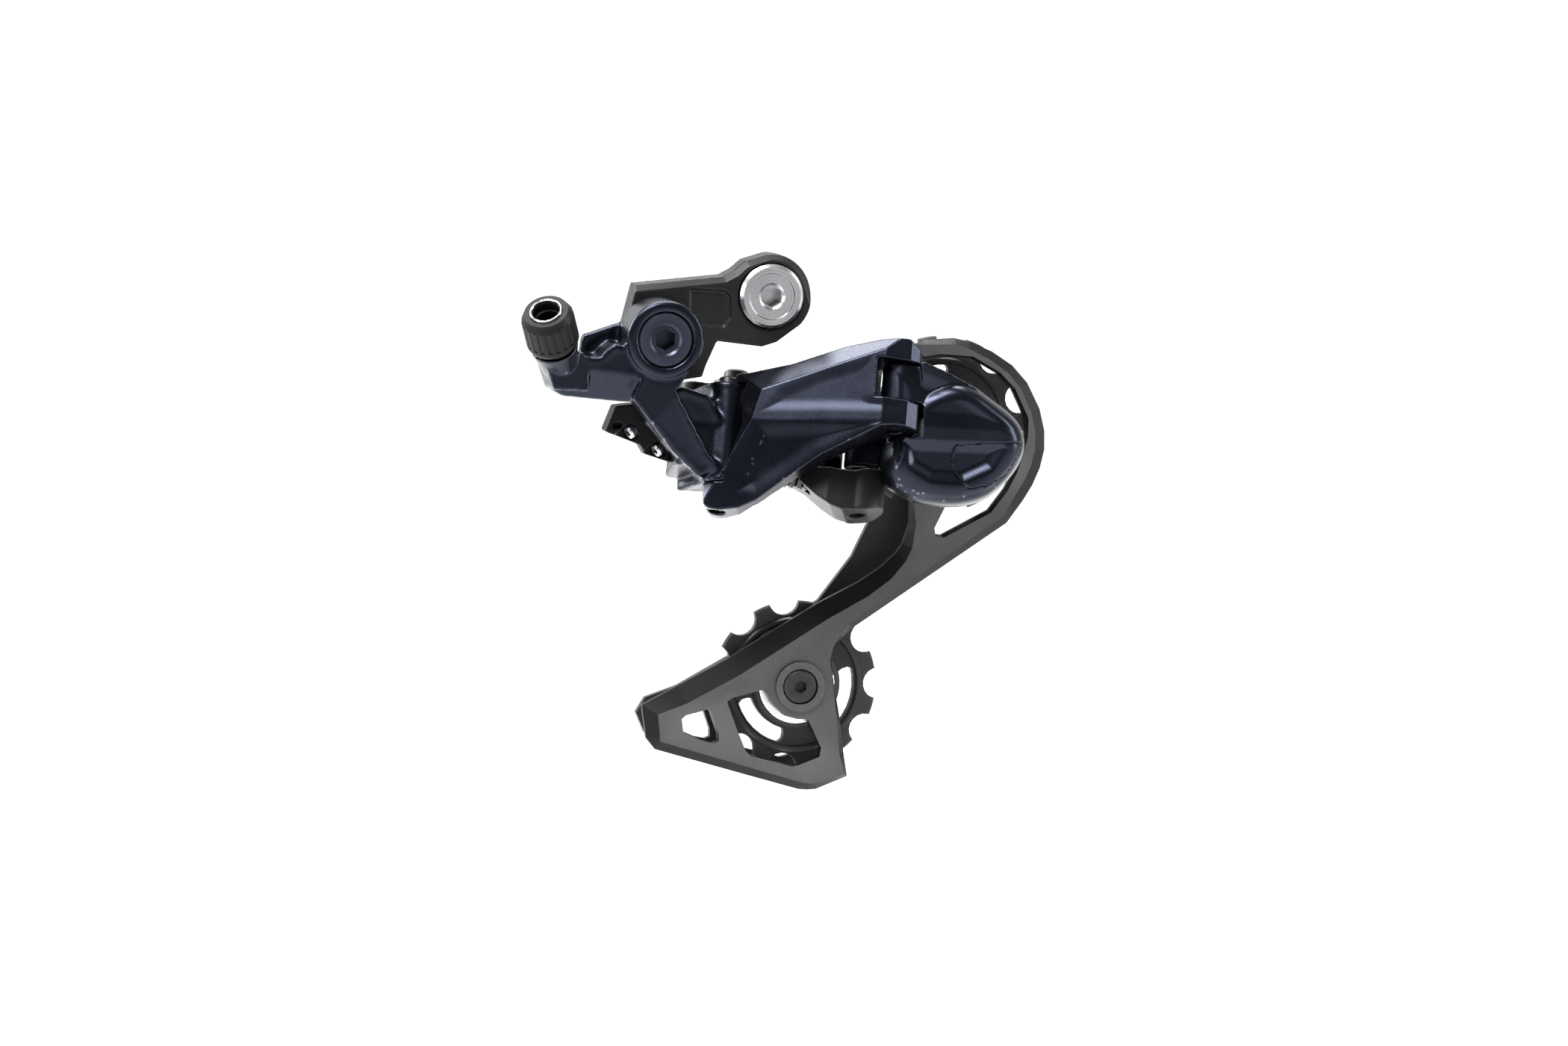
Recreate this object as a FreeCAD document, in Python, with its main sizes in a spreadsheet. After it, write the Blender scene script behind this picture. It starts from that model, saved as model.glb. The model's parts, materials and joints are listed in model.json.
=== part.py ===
import FreeCAD
import Part
import Sketcher
import math
import os

# Rear bicycle derailleur, seen in its rest position (chain on the smallest sprocket).
# X points to the front of the bicycle, Y towards the wheel (inboard), Z up.
# The origin is the hanger bolt axis on the face that meets the frame's hanger.

DOC = FreeCAD.newDocument("RearDerailleur")
SHEET = DOC.addObject("Spreadsheet::Sheet", "Sizes")
SHEET_ROWS = []
PARTS = []


class Size:
    """A length that remembers the sheet formula it comes from."""

    def __init__(self, value, text):
        self.value = float(value)
        self.text = text

    def __add__(self, other):
        return Size(self.value + num(other), "(%s + %s)" % (self.text, formula(other)))

    def __radd__(self, other):
        return Size(num(other) + self.value, "(%s + %s)" % (formula(other), self.text))

    def __sub__(self, other):
        return Size(self.value - num(other), "(%s - %s)" % (self.text, formula(other)))

    def __rsub__(self, other):
        return Size(num(other) - self.value, "(%s - %s)" % (formula(other), self.text))

    def __mul__(self, other):
        return Size(self.value * num(other), "(%s * %s)" % (self.text, formula(other)))

    def __rmul__(self, other):
        return self.__mul__(other)

    def __truediv__(self, other):
        return Size(self.value / num(other), "(%s / %s)" % (self.text, formula(other)))

    def __neg__(self):
        return Size(-self.value, "(0 - %s)" % self.text)


def num(q):
    return q.value if isinstance(q, Size) else float(q)


def formula(q):
    return q.text if isinstance(q, Size) else "(%.6f)" % q


def size(name, value, note):
    """Write one driving size to the sheet and return it with its formula."""
    row = len(SHEET_ROWS) + 1
    SHEET.set("A%d" % row, name)
    SHEET.set("B%d" % row, "%.4f" % value)
    SHEET.set("C%d" % row, note)
    SHEET.setAlias("B%d" % row, name)
    SHEET_ROWS.append(name)
    return Size(value, "Sizes." + name)


# ---------------------------------------------------------------- driving sizes (mm, degrees)
bolt_r = size("hanger_bolt_r", 5.0, "M10 x 1 hanger thread, outside radius")
bolt_reach = size("hanger_bolt_reach", 8.5, "thread standing out of the hanger face")
bolt_head_r = size("hanger_bolt_head_r", 8.4, "hanger bolt head radius")
plate_y = size("bracket_thickness", 8.0, "bracket link thickness")
b_dx = size("b_axle_back", 31.0, "b axle behind the hanger bolt")
b_dz = size("b_axle_drop", 9.7, "b axle below the hanger bolt")
b_boss_r = size("b_boss_r", 10.1, "b knuckle boss radius")
b_bolt_r = size("b_bolt_r", 4.0, "b axle bolt shank radius")
link_len = size("link_length", 45.0, "pin to pin length of both links")
pin_r = size("pin_r", 2.3, "link pin radius")
pin_gap = size("pin_gap", 15.0, "outer pin to inner pin, across the linkage")
block_half = size("block_half", 13.5, "half height of the b knuckle pin block")
lean = size("link_lean", 10.0, "linkage lean towards the front, degrees")
slant = size("link_slant", 20.0, "linkage slant, degrees")
start = size("link_start", 22.0, "link angle at rest, degrees")
p_dx = size("p_axle_ahead", 16.1, "p axle ahead of the outer pin")
p_r = size("p_axle_r", 4.6, "p axle radius")
p_shell = size("p_barrel_r", 15.2, "p knuckle barrel radius")
guide_dx = size("guide_ahead", 4.9, "guide pulley axle ahead of the p axle")
cage_turn = size("cage_angle", 30.2, "cage angle from hanging straight, degrees")
pulley_gap = size("pulley_gap", 78.4, "guide axle to tension axle")
chain_pitch = size("chain_pitch", 12.7, "chain pitch")
guide_tip = size("guide_tip_r", 23.4, "guide pulley tooth tip radius")
tension_tip = size("tension_tip_r", 22.0, "tension pulley tooth tip radius")
roller_cut = size("roller_cut_r", 4.1, "radius of the valley between two teeth")
bush_r = size("pulley_bush_r", 4.0, "pulley bush radius")
pulley_bolt_r = size("pulley_bolt_r", 2.5, "pulley bolt radius")
pulley_mid = size("pulley_mid_y", 9.4, "pulley plane inboard of the hanger face")
cage_inside = size("cage_inside", 7.4, "clear width between the cage plates")
outer_t = size("outer_plate_t", 3.5, "outer cage plate thickness")
inner_t = size("inner_plate_t", 2.2, "inner cage plate thickness")
socket_r = size("housing_socket_r", 3.05, "socket for the cable housing end cap")
barrel_r = size("barrel_r", 6.9, "barrel adjuster radius")
run = size("running_gap", 0.05, "radial clearance of a turning fit")
side = size("side_gap", 0.35, "clearance between parts that turn side by side")
DOC.recompute()

TEETH = 11

# ---------------------------------------------------------------- key points and frames
b_axle = (-b_dx, -b_dz)


def turn(axis, degrees):
    return FreeCAD.Rotation(FreeCAD.Vector(*axis), num(degrees))


OUT = turn((1, 0, 0), 90)       # local z points outboard (world -Y), local y points up
ROT_R = turn((0, 1, 0), lean).multiply(turn((1, 0, 0), -slant))
ROT_K = ROT_R.multiply(turn((0, 0, 1), -start))


def vec(x, y, z):
    return FreeCAD.Vector(num(x), num(y), num(z))


B0 = vec(17.5 - b_dx, -11.0, -26.3 - b_dz)
P0 = B0 + ROT_K.multVec(vec(link_len, 0, 0))
SKEW = (-0.3 * pin_gap, pin_gap)
TAB = 3.0                       # thickness of the inner link's tabs
INNER_LOW = 1.2                 # lower end of the pin block's inner column, hidden by the leg
CUP_R = 6.8                     # end radius of the inner link's cup, about the inner p pin
D = ROT_R.multVec(vec(SKEW[0], SKEW[1], 0))
B1 = B0 + D
P1 = P0 + D
P_AXLE = vec(P0.x + num(p_dx), 0, P0.z + 0.8)
GUIDE = vec(P_AXLE.x + num(guide_dx), 0, P_AXLE.z + 0.5)
FRAME_B = FreeCAD.Placement(B0, ROT_R)
FRAME_P = FreeCAD.Placement(P0, ROT_R)
LINK_OUT = FreeCAD.Placement(B0, ROT_K)
LINK_IN = FreeCAD.Placement(B1, ROT_K)
CAGE_ROT = turn((0, 1, 0), cage_turn).multiply(OUT)
CAGE = FreeCAD.Placement(GUIDE, CAGE_ROT)
EZ = ROT_R.multVec(vec(0, 0, 1))

# line of the return spring, from near the outer b pin to near the inner p pin
SPRING_R = 4.2
SPRING_WIRE = 0.75
SPRING_PITCH = 1.85
SPRING_TURNS = 9
SPRING_FROM = B0 + EZ * -6.5
SPRING_DIR = P1 - B0
SPRING_DIR.normalize()
SPRING_FRAME = FreeCAD.Placement(SPRING_FROM + SPRING_DIR * 10.0, FreeCAD.Rotation(
    ROT_R.multVec(vec(0, 0, -1)), FreeCAD.Vector(), SPRING_DIR, "ZXY"))
SPRING_SIDE = SPRING_FRAME.Rotation.multVec(FreeCAD.Vector(1, 0, 0))
SPRING_HOOK = SPRING_FROM + SPRING_DIR * 4.0 + SPRING_SIDE * 1.2
SPRING_FIRST = SPRING_FRAME.multVec(vec(SPRING_R, 0, 0))
SPRING_LAST = SPRING_FRAME.multVec(vec(SPRING_R, 0, SPRING_PITCH * SPRING_TURNS))
SPRING_EYE = P1 + EZ * -9.4
SPRING_EYE_SIDE = SPRING_EYE + SPRING_DIR * -3.1

outer_y1 = pulley_mid - cage_inside / 2         # inner face of the outer plate
outer_y0 = outer_y1 - outer_t                   # front face of the outer plate
inner_y0 = pulley_mid + cage_inside / 2         # inner face of the inner plate
inner_y1 = inner_y0 + inner_t


# ---------------------------------------------------------------- helpers for bodies
def set_bound(obj, prop, q):
    if isinstance(q, Size):
        obj.setExpression(prop, q.text)
    else:
        setattr(obj, prop, q)


def place(obj, base, rotation):
    obj.Placement = FreeCAD.Placement(vec(*base), rotation)
    for axis, q in zip("xyz", base):
        if isinstance(q, Size):
            obj.setExpression("Placement.Base." + axis, q.text)


def keep(obj, name):
    obj.Label = name
    PARTS.append((name, obj))
    return obj


def plane_sketch(body, name, role, offset=0.0):
    sketch = body.newObject("Sketcher::SketchObject", name)
    origin = [f for f in body.Origin.OriginFeatures if f.Role == role][0]
    sketch.AttachmentSupport = [(origin, "")]
    sketch.MapMode = "FlatFace"
    sketch.AttachmentOffset = FreeCAD.Placement(vec(0, 0, offset), FreeCAD.Rotation())
    if isinstance(offset, Size):
        sketch.setExpression("AttachmentOffset.Base.z", offset.text)
    return sketch


def draw_polygon(sketch, points):
    """Closed outline with every corner held by two dimensions."""
    count = len(points)
    flat = [vec(p[0], p[1], 0) for p in points]
    first = sketch.GeometryCount
    for i in range(count):
        sketch.addGeometry(Part.LineSegment(flat[i], flat[(i + 1) % count]), False)
    for i in range(count):
        following = first + (i + 1) % count
        sketch.addConstraint(Sketcher.Constraint("Coincident", first + i, 2, following, 1))
    for i, p in enumerate(points):
        for kind, q in (("DistanceX", p[0]), ("DistanceY", p[1])):
            index = sketch.addConstraint(
                Sketcher.Constraint(kind, -1, 1, first + i, 1, num(q)))
            if isinstance(q, Size):
                sketch.setExpression("Constraints[%d]" % index, q.text)


def draw_circle(sketch, x, y, r):
    index = sketch.addGeometry(Part.Circle(vec(x, y, 0), FreeCAD.Vector(0, 0, 1), num(r)), False)
    for kind, q in (("DistanceX", x), ("DistanceY", y)):
        c = sketch.addConstraint(Sketcher.Constraint(kind, -1, 1, index, 3, num(q)))
        if isinstance(q, Size):
            sketch.setExpression("Constraints[%d]" % c, q.text)
    c = sketch.addConstraint(Sketcher.Constraint("Radius", index, num(r)))
    if isinstance(r, Size):
        sketch.setExpression("Constraints[%d]" % c, r.text)


def new_body(name):
    return DOC.addObject("PartDesign::Body", name)


def revolve(body, name, profile):
    sketch = plane_sketch(body, name, "XZ_Plane")
    draw_polygon(sketch, profile)
    solid = body.newObject("PartDesign::Revolution", name + "_turned")
    solid.Profile = sketch
    solid.ReferenceAxis = (sketch, ["V_Axis"])
    solid.Angle = 360
    body.Tip = solid
    return solid


def pad(body, name, points, z0, height, circles=()):
    sketch = plane_sketch(body, name, "XY_Plane", z0)
    draw_polygon(sketch, points)
    for x, y, r in circles:
        draw_circle(sketch, x, y, r)
    solid = body.newObject("PartDesign::Pad", name + "_pad")
    solid.Profile = sketch
    set_bound(solid, "Length", height)
    body.Tip = solid
    return solid


def pocket(body, name, z_top, depth, points=None, circles=()):
    """Cut downwards from z_top and make sure that something was cut."""
    DOC.recompute()
    before = body.Shape.Volume
    sketch = plane_sketch(body, name, "XY_Plane", z_top)
    if points:
        draw_polygon(sketch, points)
    for x, y, r in circles:
        draw_circle(sketch, x, y, r)
    cut = body.newObject("PartDesign::Pocket", name + "_cut")
    cut.Profile = sketch
    set_bound(cut, "Length", depth)
    body.Tip = cut
    DOC.recompute()
    if body.Shape.Volume > before - 1e-4:
        raise ValueError("pocket %s cuts nothing" % name)
    return cut


def hexagon(across_flats, x=0.0, y=0.0):
    r = num(across_flats) / math.sqrt(3)
    return [(x + r * math.cos(math.radians(60 * i + 30)),
             y + r * math.sin(math.radians(60 * i + 30))) for i in range(6)]


def turned(name, profile, base, rotation, socket=None):
    """Lathe part; socket = (across flats, face height, depth)."""
    body = new_body(name)
    revolve(body, name + "_profile", profile)
    if socket:
        flats, face, depth = socket
        pocket(body, name + "_hex", face, depth, hexagon(flats))
    place(body, base, rotation)
    return keep(body, name)


def solid_part(name, shape):
    """Free-form part whose shape is worked out from the sheet sizes."""
    obj = DOC.addObject("Part::Feature", name)
    obj.Shape = shape
    return keep(obj, name)


# ---------------------------------------------------------------- helpers for free-form shapes
def prism_y(points, y0, y1):
    """World outline in X and Z, from y0 to y1."""
    ring = [vec(x, y0, z) for x, z in points]
    face = Part.Face(Part.makePolygon(ring + [ring[0]]))
    return face.extrude(vec(0, num(y1) - num(y0), 0))


def prism_z(points, z0, z1, frame):
    """Outline in a frame's x and y, from z0 to z1."""
    ring = [vec(x, y, z0) for x, y in points]
    face = Part.Face(Part.makePolygon(ring + [ring[0]]))
    shape = face.extrude(vec(0, 0, num(z1) - num(z0)))
    shape.Placement = frame
    return shape


def prism_front(points, y0, y1, frame):
    """Outline in a frame's x and z, from y0 to y1."""
    ring = [vec(x, y0, z) for x, z in points]
    face = Part.Face(Part.makePolygon(ring + [ring[0]]))
    shape = face.extrude(vec(0, num(y1) - num(y0), 0))
    shape.Placement = frame
    return shape


def rod(r, z0, z1, frame, x=0.0, y=0.0):
    shape = Part.makeCylinder(num(r), num(z1) - num(z0), vec(x, y, z0))
    shape.Placement = frame
    return shape


def rod_y(r, y0, y1, x, z):
    return Part.makeCylinder(num(r), num(y1) - num(y0), vec(x, y0, z), FreeCAD.Vector(0, 1, 0))


def stadium(r, z0, z1, frame, x, y):
    """Rod pair at the frame origin and at (x, y), joined by their common tangents."""
    length = math.hypot(x, y)
    nx = -y / length * r
    ny = x / length * r
    bridge = prism_z([(nx, ny), (-nx, -ny), (x - nx, y - ny), (x + nx, y + ny)], z0, z1, frame)
    return rod(r, z0, z1, frame).fuse([rod(r, z0, z1, frame, x, y), bridge])


def slice_off(shape, a, b, c, frame):
    """Remove what lies in front of the plane through a, b and c (seen in a frame)."""
    pa, pb, pc = [vec(*p) for p in (a, b, c)]
    normal = (pb - pa).cross(pc - pa)
    normal.normalize()
    if normal.y > 0:
        normal = normal * -1
    centre = (pa + pb + pc) * (1 / 3.0)
    box = Part.makeBox(240, 240, 60, FreeCAD.Vector(-120, -120, 0))
    box.Placement = FreeCAD.Placement(centre, FreeCAD.Rotation(FreeCAD.Vector(0, 0, 1), normal))
    box.Placement = frame.multiply(box.Placement)
    return shape.cut(box)


def clean(shape):
    shape = shape.removeSplitter()
    if shape.ShapeType == "Compound" and len(shape.Solids) == 1:
        shape = shape.Solids[0]
    return shape


def soften(shape, radius, pick):
    """Round the edges that pick() accepts, trying smaller radii where one does not fit."""
    edges = [e for e in shape.Edges if pick(e)]
    if not edges:
        return shape
    for factor in (1.0, 0.7, 0.45):
        try:
            rounded = shape.makeFillet(radius * factor, edges)
        except Part.OCCError:
            continue
        if rounded.isValid() and rounded.Volume > 0.5 * shape.Volume:
            return rounded
    return shape


def coil(radius, wire, turns, pitch, frame):
    """Helical spring body along a frame's z."""
    helix = Part.makeHelix(pitch, pitch * turns, radius)
    ring = Part.makeCircle(wire, FreeCAD.Vector(radius, 0, 0), FreeCAD.Vector(0, 1, 0))
    shape = Part.Wire(helix.Edges).makePipeShell([Part.Wire([ring])], True, True)
    shape.Placement = frame
    return shape


def inset_ring(points):
    """Move each (x, z, inset) corner inwards by its own inset; corners run clockwise."""
    ring = []
    count = len(points)
    for i, (x, z, inset) in enumerate(points):
        ax, az = points[i - 1][:2]
        bx, bz = points[(i + 1) % count][:2]
        tx, tz = bx - ax, bz - az
        length = math.hypot(tx, tz)
        ring.append((x + tz / length * inset, z - tx / length * inset))
    return ring


# ---------------------------------------------------------------- bracket (bolted to the frame)
def make_bracket():
    bx, bz = num(b_axle[0]), num(b_axle[1])
    body = new_body("bracket_link")
    arc = [(11.0 * math.cos(math.radians(a)), 11.0 * math.sin(math.radians(a)))
           for a in range(92, -46, -8)]
    outline = [(bx - 4.8, bz + 13.3), (bx + 18.6, bz + 15.1), (-9.4, 6.9), (-6.5, 9.3)]
    outline += arc
    outline += [(1.5, -12.1), (-2.4, -13.2), (-14.4, -11.5), (bx + 13.6, bz - 8.2),
                (bx + 12.6, bz - 11.1), (bx + 5.6, bz - 12.0)]
    outline += [(bx + 8.6 * math.cos(math.radians(a)), bz + 8.6 * math.sin(math.radians(a)))
                for a in range(-64, -190, -14)]
    pad(body, "bracket_outline", outline, 0, plate_y)
    DOC.recompute()
    solid = body.Tip
    top = []
    for i, e in enumerate(solid.Shape.Edges):
        c = e.CenterOfMass
        level = abs(c.z - num(plate_y)) < 1e-3
        if level and c.y > 2.5 and e.BoundBox.ZLength < 1e-3:
            top.append("Edge%d" % (i + 1))
    bevel = body.newObject("PartDesign::Chamfer", "bracket_bevel")
    bevel.Base = (solid, top)
    bevel.Size = 1.7
    body.Tip = bevel
    DOC.recompute()
    pocket(body, "bracket_recess", plate_y, 0.8,
           [(bx + 9.5, bz + 12.0), (bx + 19.0, bz + 11.2), (bx + 20.4, bz + 9.6),
            (bx + 20.4, bz + 4.4), (bx + 18.6, bz + 1.8), (bx + 9.5, bz + 2.6)])
    pocket(body, "bracket_head_seat", plate_y, 1.2, None, [(0, 0, bolt_head_r + 0.3)])
    pocket(body, "bracket_bolt_hole", plate_y, plate_y, None, [(0, 0, bolt_r + 1.0)])
    pocket(body, "bracket_axle_hole", plate_y, plate_y, None,
           [(b_axle[0], b_axle[1], b_bolt_r)])
    place(body, (0, 0, 0), OUT)
    keep(body, "bracket_link")

    # hanger bolt: local z runs outboard, the head stands proud of its seat
    seat = plate_y - 1.2
    face = plate_y + 1.5
    profile = [(0, -bolt_reach), (bolt_r - 0.8, -bolt_reach), (bolt_r, 0.8 - bolt_reach),
               (bolt_r, 0), (bolt_r + 0.9, 0), (bolt_r + 0.9, seat),
               (bolt_head_r - 0.4, seat), (bolt_head_r, seat + 0.4),
               (bolt_head_r, face - 0.7), (bolt_head_r - 0.8, face),
               (bolt_head_r - 2.3, face), (bolt_head_r - 2.5, face - 0.25),
               (bolt_head_r - 4.9, face - 0.25), (bolt_head_r - 5.5, face - 0.75), (0, face - 0.75)]
    turned("hanger_bolt", profile, (0, 0, 0), OUT, (5.0, face - 0.75, 4.5))

    # b axle bolt: screws into the bracket, the b knuckle turns on it
    face = 21.5
    profile = [(0, 0.4), (b_bolt_r - 0.6, 0.4), (b_bolt_r, 1.0), (b_bolt_r, 18.4),
               (7.3, 18.4), (7.3, face - 0.5), (6.8, face), (4.3, face), (3.7, face - 0.5),
               (0, face - 0.5)]
    turned("b_axle_bolt", profile, (b_axle[0], 0, b_axle[1]), OUT, (5.0, face - 0.5, 4.0))


# ---------------------------------------------------------------- b knuckle
BARREL_SEAT = vec(-29.6 - b_dx, -22.0, -0.9 - b_dz)
BARREL_DIR = vec(-0.297, -0.565, 0.770)
BARREL_DIR.normalize()
BARREL_ROT = FreeCAD.Rotation(FreeCAD.Vector(0, 0, 1), BARREL_DIR)
BARREL = FreeCAD.Placement(BARREL_SEAT, BARREL_ROT)
SCREW_DIR = vec(-0.80, -0.32, -0.51)
SCREW_DIR.normalize()
SCREW_ROT = FreeCAD.Rotation(FreeCAD.Vector(0, 0, 1), SCREW_DIR)
HIGH_SCREW = vec(-6.6 - b_dx, -7.4, -25.3 - b_dz)
LOW_SCREW = vec(0.6 - b_dx, -7.4, -30.1 - b_dz)
TENSION_SCREW = vec(-8.5 - b_dx, -4.4, -10.7 - b_dz)


def link_sweep(r, z0, z1, frame, x=0.0, y=0.0, reach=22.0):
    """Room that a link tab needs while it turns about its pin; the link is on the +x side."""
    centre = rod(r, z0, z1, frame, x, y)
    wedge = prism_z([(x, y - r), (x + reach, y - r - 12), (x + reach, y + r + 12), (x, y + r)],
                    z0, z1, frame)
    return centre.fuse(wedge)


def make_b_knuckle():
    bx, bz = num(b_axle[0]), num(b_axle[1])
    back = -8.0 - num(side) - 0.3
    boss = rod_y(num(b_boss_r), -22.0, back, bx, bz)
    boss = soften(boss, 1.2, lambda e: abs(e.CenterOfMass.y + 22.0) < 1e-3)
    arm = prism_y([(bx - 32.3, bz - 3.8), (bx - 29.3, bz - 12.7), (bx - 26.3, bz - 14.5),
                   (bx - 18.3, bz - 15.5), (bx - 8.3, bz - 16.5), (bx - 2.0, bz - 17.0),
                   (bx - 2.0, bz + 1.0), (bx - 8.2, bz + 0.9), (bx - 11.2, bz - 1.4),
                   (bx - 13.2, bz - 0.9), (bx - 14.8, bz - 1.9), (bx - 17.2, bz - 4.3),
                   (bx - 21.2, bz - 4.2), (bx - 27.5, bz - 1.5)], -20.5, back)
    arm = slice_off(arm, (bx - 30, -20.5, bz - 6.0), (bx - 6, -20.5, bz - 10.0),
                    (bx - 28, -15.5, bz - 15.0), FreeCAD.Placement())
    wall = prism_y([(bx - 19.7, bz + 0.7), (bx - 5.7, bz + 5.0), (bx - 5.0, bz - 6.0),
                    (bx - 21.0, bz - 6.0)], -11.4, back)
    leg = prism_y([(bx - 8.6, bz - 15.2), (bx + 2.4, bz - 29.6), (bx + 9.4, bz - 36.3),
                   (bx + 15.0, bz - 40.5), (bx + 15.5, bz - 34.0), (bx + 12.0, bz - 30.5),
                   (bx + 2.8, bz - 13.6), (bx + 6.8, bz - 8.0), (bx - 4.0, bz - 4.0)],
                  -21.0, -11.5)
    leg = slice_off(leg, (bx + 9.0, -19.4, bz - 36.0), (bx + 15.0, -19.4, bz - 30.0),
                    (bx - 6.0, -21.6, bz - 14.0), FreeCAD.Placement())
    bridge = prism_y([(bx - 4.0, bz - 22.0), (bx + 2.4, bz - 29.6), (bx + 9.4, bz - 36.3),
                      (bx + 16.0, bz - 39.0), (bx + 20.0, bz - 28.0), (bx + 13.0, bz - 15.5),
                      (bx + 6.2, bz - 13.2), (bx + 3.0, bz - 14.2)], -14.5, back)
    half = num(block_half)
    block = stadium(4.9, -half, half, FRAME_B, SKEW[0].value, SKEW[1].value)
    neck = prism_z([(-13.0, -4.0), (0, -4.0), (-2.0, 12.0), (-12.0, 10.0)], -10.5, 8.5, FRAME_B)
    lug = prism_y([(bx - 8.0, bz - 14.0), (bx - 3.0, bz - 13.6), (bx - 3.0, bz - 9.6),
                   (bx - 8.0, bz - 8.6)], -12.0, back)
    lug_back = prism_y([(bx - 8.0, bz - 14.0), (bx - 3.2, bz - 14.0), (bx - 3.2, bz - 9.4),
                        (bx - 8.0, bz - 8.4)], back - 0.5, -1.6)
    collar = Part.makeCone(4.6, 6.2, 7.6, BARREL_SEAT - BARREL_DIR * 7.6, BARREL_DIR)
    root = prism_y([(bx - 33.4, bz - 1.6), (bx - 30.0, bz - 12.2), (bx - 20.0, bz - 13.0),
                    (bx - 20.0, bz - 4.2), (bx - 26.5, bz - 1.0)], -24.5, -14.5)
    root = slice_off(root, (bx - 33.0, -24.0, bz - 2.0), (bx - 29.0, -23.0, bz - 11.0),
                     (bx - 20.0, -20.6, bz - 8.0), FreeCAD.Placement())
    root = root.cut(Part.makeCylinder(14.0, 14.0, BARREL_SEAT, BARREL_DIR))
    shape = boss.fuse([arm, wall, leg, bridge, block, neck, lug, lug_back, collar, root])
    shape = shape.cut(rod_y(60.0, back, 30.0, bx, bz).cut(
        rod_y(9.3, back - 1, 31.0, bx, bz)).common(
            Part.makeBox(40, 8.3, 60, vec(bx - 9.0, back, bz - 9.0))))
    # room for the round end of the bracket link
    tools = [rod_y(9.1, back, 2.0, bx, bz)]
    # room for the tabs of both links at the top and at the bottom of the block
    for x, y, r, low in ((0.0, 0.0, 6.5, half), (SKEW[0].value, SKEW[1].value, 5.3, INNER_LOW)):
        tools.append(link_sweep(r, half + 0.02, half + 14, FRAME_B, x, y))
        tools.append(link_sweep(r, -half - 14, -low - 0.02, FRAME_B, x, y))
        tools.append(rod(num(pin_r), -half - 5, half + 5, FRAME_B, x, y))
    # room for the strip of the outer link that covers the block
    strip_room = prism_front([(-5.5, -half - 0.3), (-2.2, -12.0), (1.0, -10.2), (1.8, -8.5),
                              (4.6, 1.2), (4.2, 6.2), (3.0, 8.3), (0.2, 11.6), (-5.5, half),
                              (20.0, half), (20.0, -half - 0.3)], -20.0, 0.0, LINK_OUT)
    tools.append(strip_room.cut(rod(4.9, -half - 1, half + 1, FRAME_B)))
    # b axle: head recess, bush bore and spring room
    tools.append(rod_y(7.3 + 2 * num(run), -23.0, -18.3, bx, bz))
    tools.append(rod_y(num(b_bolt_r) + 1.2, -19.0, 0.0, bx, bz))
    tools.append(rod_y(7.5, -15.6, -0.0, bx, bz))
    # thread of the barrel adjuster and way out for the cable
    tools.append(Part.makeCylinder(2.6, 9.0, BARREL_SEAT - BARREL_DIR * 8.8, BARREL_DIR))
    tools.append(Part.makeCylinder(1.55, 10.0, TENSION_SCREW, FreeCAD.Vector(1, 0, 0)))
    # room for the limit screws and the anchored end of the return spring
    for head in (HIGH_SCREW, LOW_SCREW):
        tools.append(Part.makeCylinder(1.5, 10.0, head - SCREW_DIR * 9.6, SCREW_DIR))
        tools.append(Part.makeCylinder(2.3, 6.0, head - SCREW_DIR * 1.7, SCREW_DIR))
    hook_dir = SPRING_HOOK - SPRING_FIRST
    tools.append(Part.makeCylinder(SPRING_WIRE + 0.15, hook_dir.Length + 0.8,
                                   SPRING_FIRST, hook_dir))
    shape = clean(shape.cut(tools))
    knuckle = max(shape.Solids, key=lambda s: s.Volume)
    solid_part("b_knuckle", knuckle)

    turned("b_axle_bush", [(b_bolt_r + run, 8.4), (b_bolt_r + 1.15, 8.4), (b_bolt_r + 1.15, 18.1),
                           (b_bolt_r + run, 18.1)], (b_axle[0], 0, b_axle[1]), OUT)
    turned("b_seal_ring", [(7.65, 8.25), (8.7, 8.25), (8.7, 8.6), (7.65, 8.6)],
           (b_axle[0], 0, b_axle[1]), OUT)
    frame = FreeCAD.Placement(vec(bx, -9.7, bz), OUT)
    solid_part("b_spring", coil(6.3, 0.5, 3, 1.7, frame))
    return knuckle


def make_link_pins():
    """Headed pins; they are pressed into the knuckles and the links turn on them."""
    half = num(block_half)
    spans = (("outer_b_pin", FRAME_B, 0.0, 0.0, -half - 4.6, half + 2.2),
             ("inner_b_pin", FRAME_B, SKEW[0].value, SKEW[1].value,
              -INNER_LOW - TAB, half + 3.1),
             ("outer_p_pin", FRAME_P, 0.0, 0.0, 4.2, 26.4),
             ("inner_p_pin", FRAME_P, SKEW[0].value, SKEW[1].value, -14.4, 16.6))
    for name, frame, x, y, z0, z1 in spans:
        body = new_body(name)
        revolve(body, name + "_profile",
                [(0, z0), (pin_r - 0.4, z0), (pin_r, z0 + 0.4), (pin_r, z1 - 0.4),
                 (pin_r - 0.4, z1), (0, z1)])
        body.Placement = frame.multiply(FreeCAD.Placement(vec(x, y, 0), FreeCAD.Rotation()))
        keep(body, name)


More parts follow.
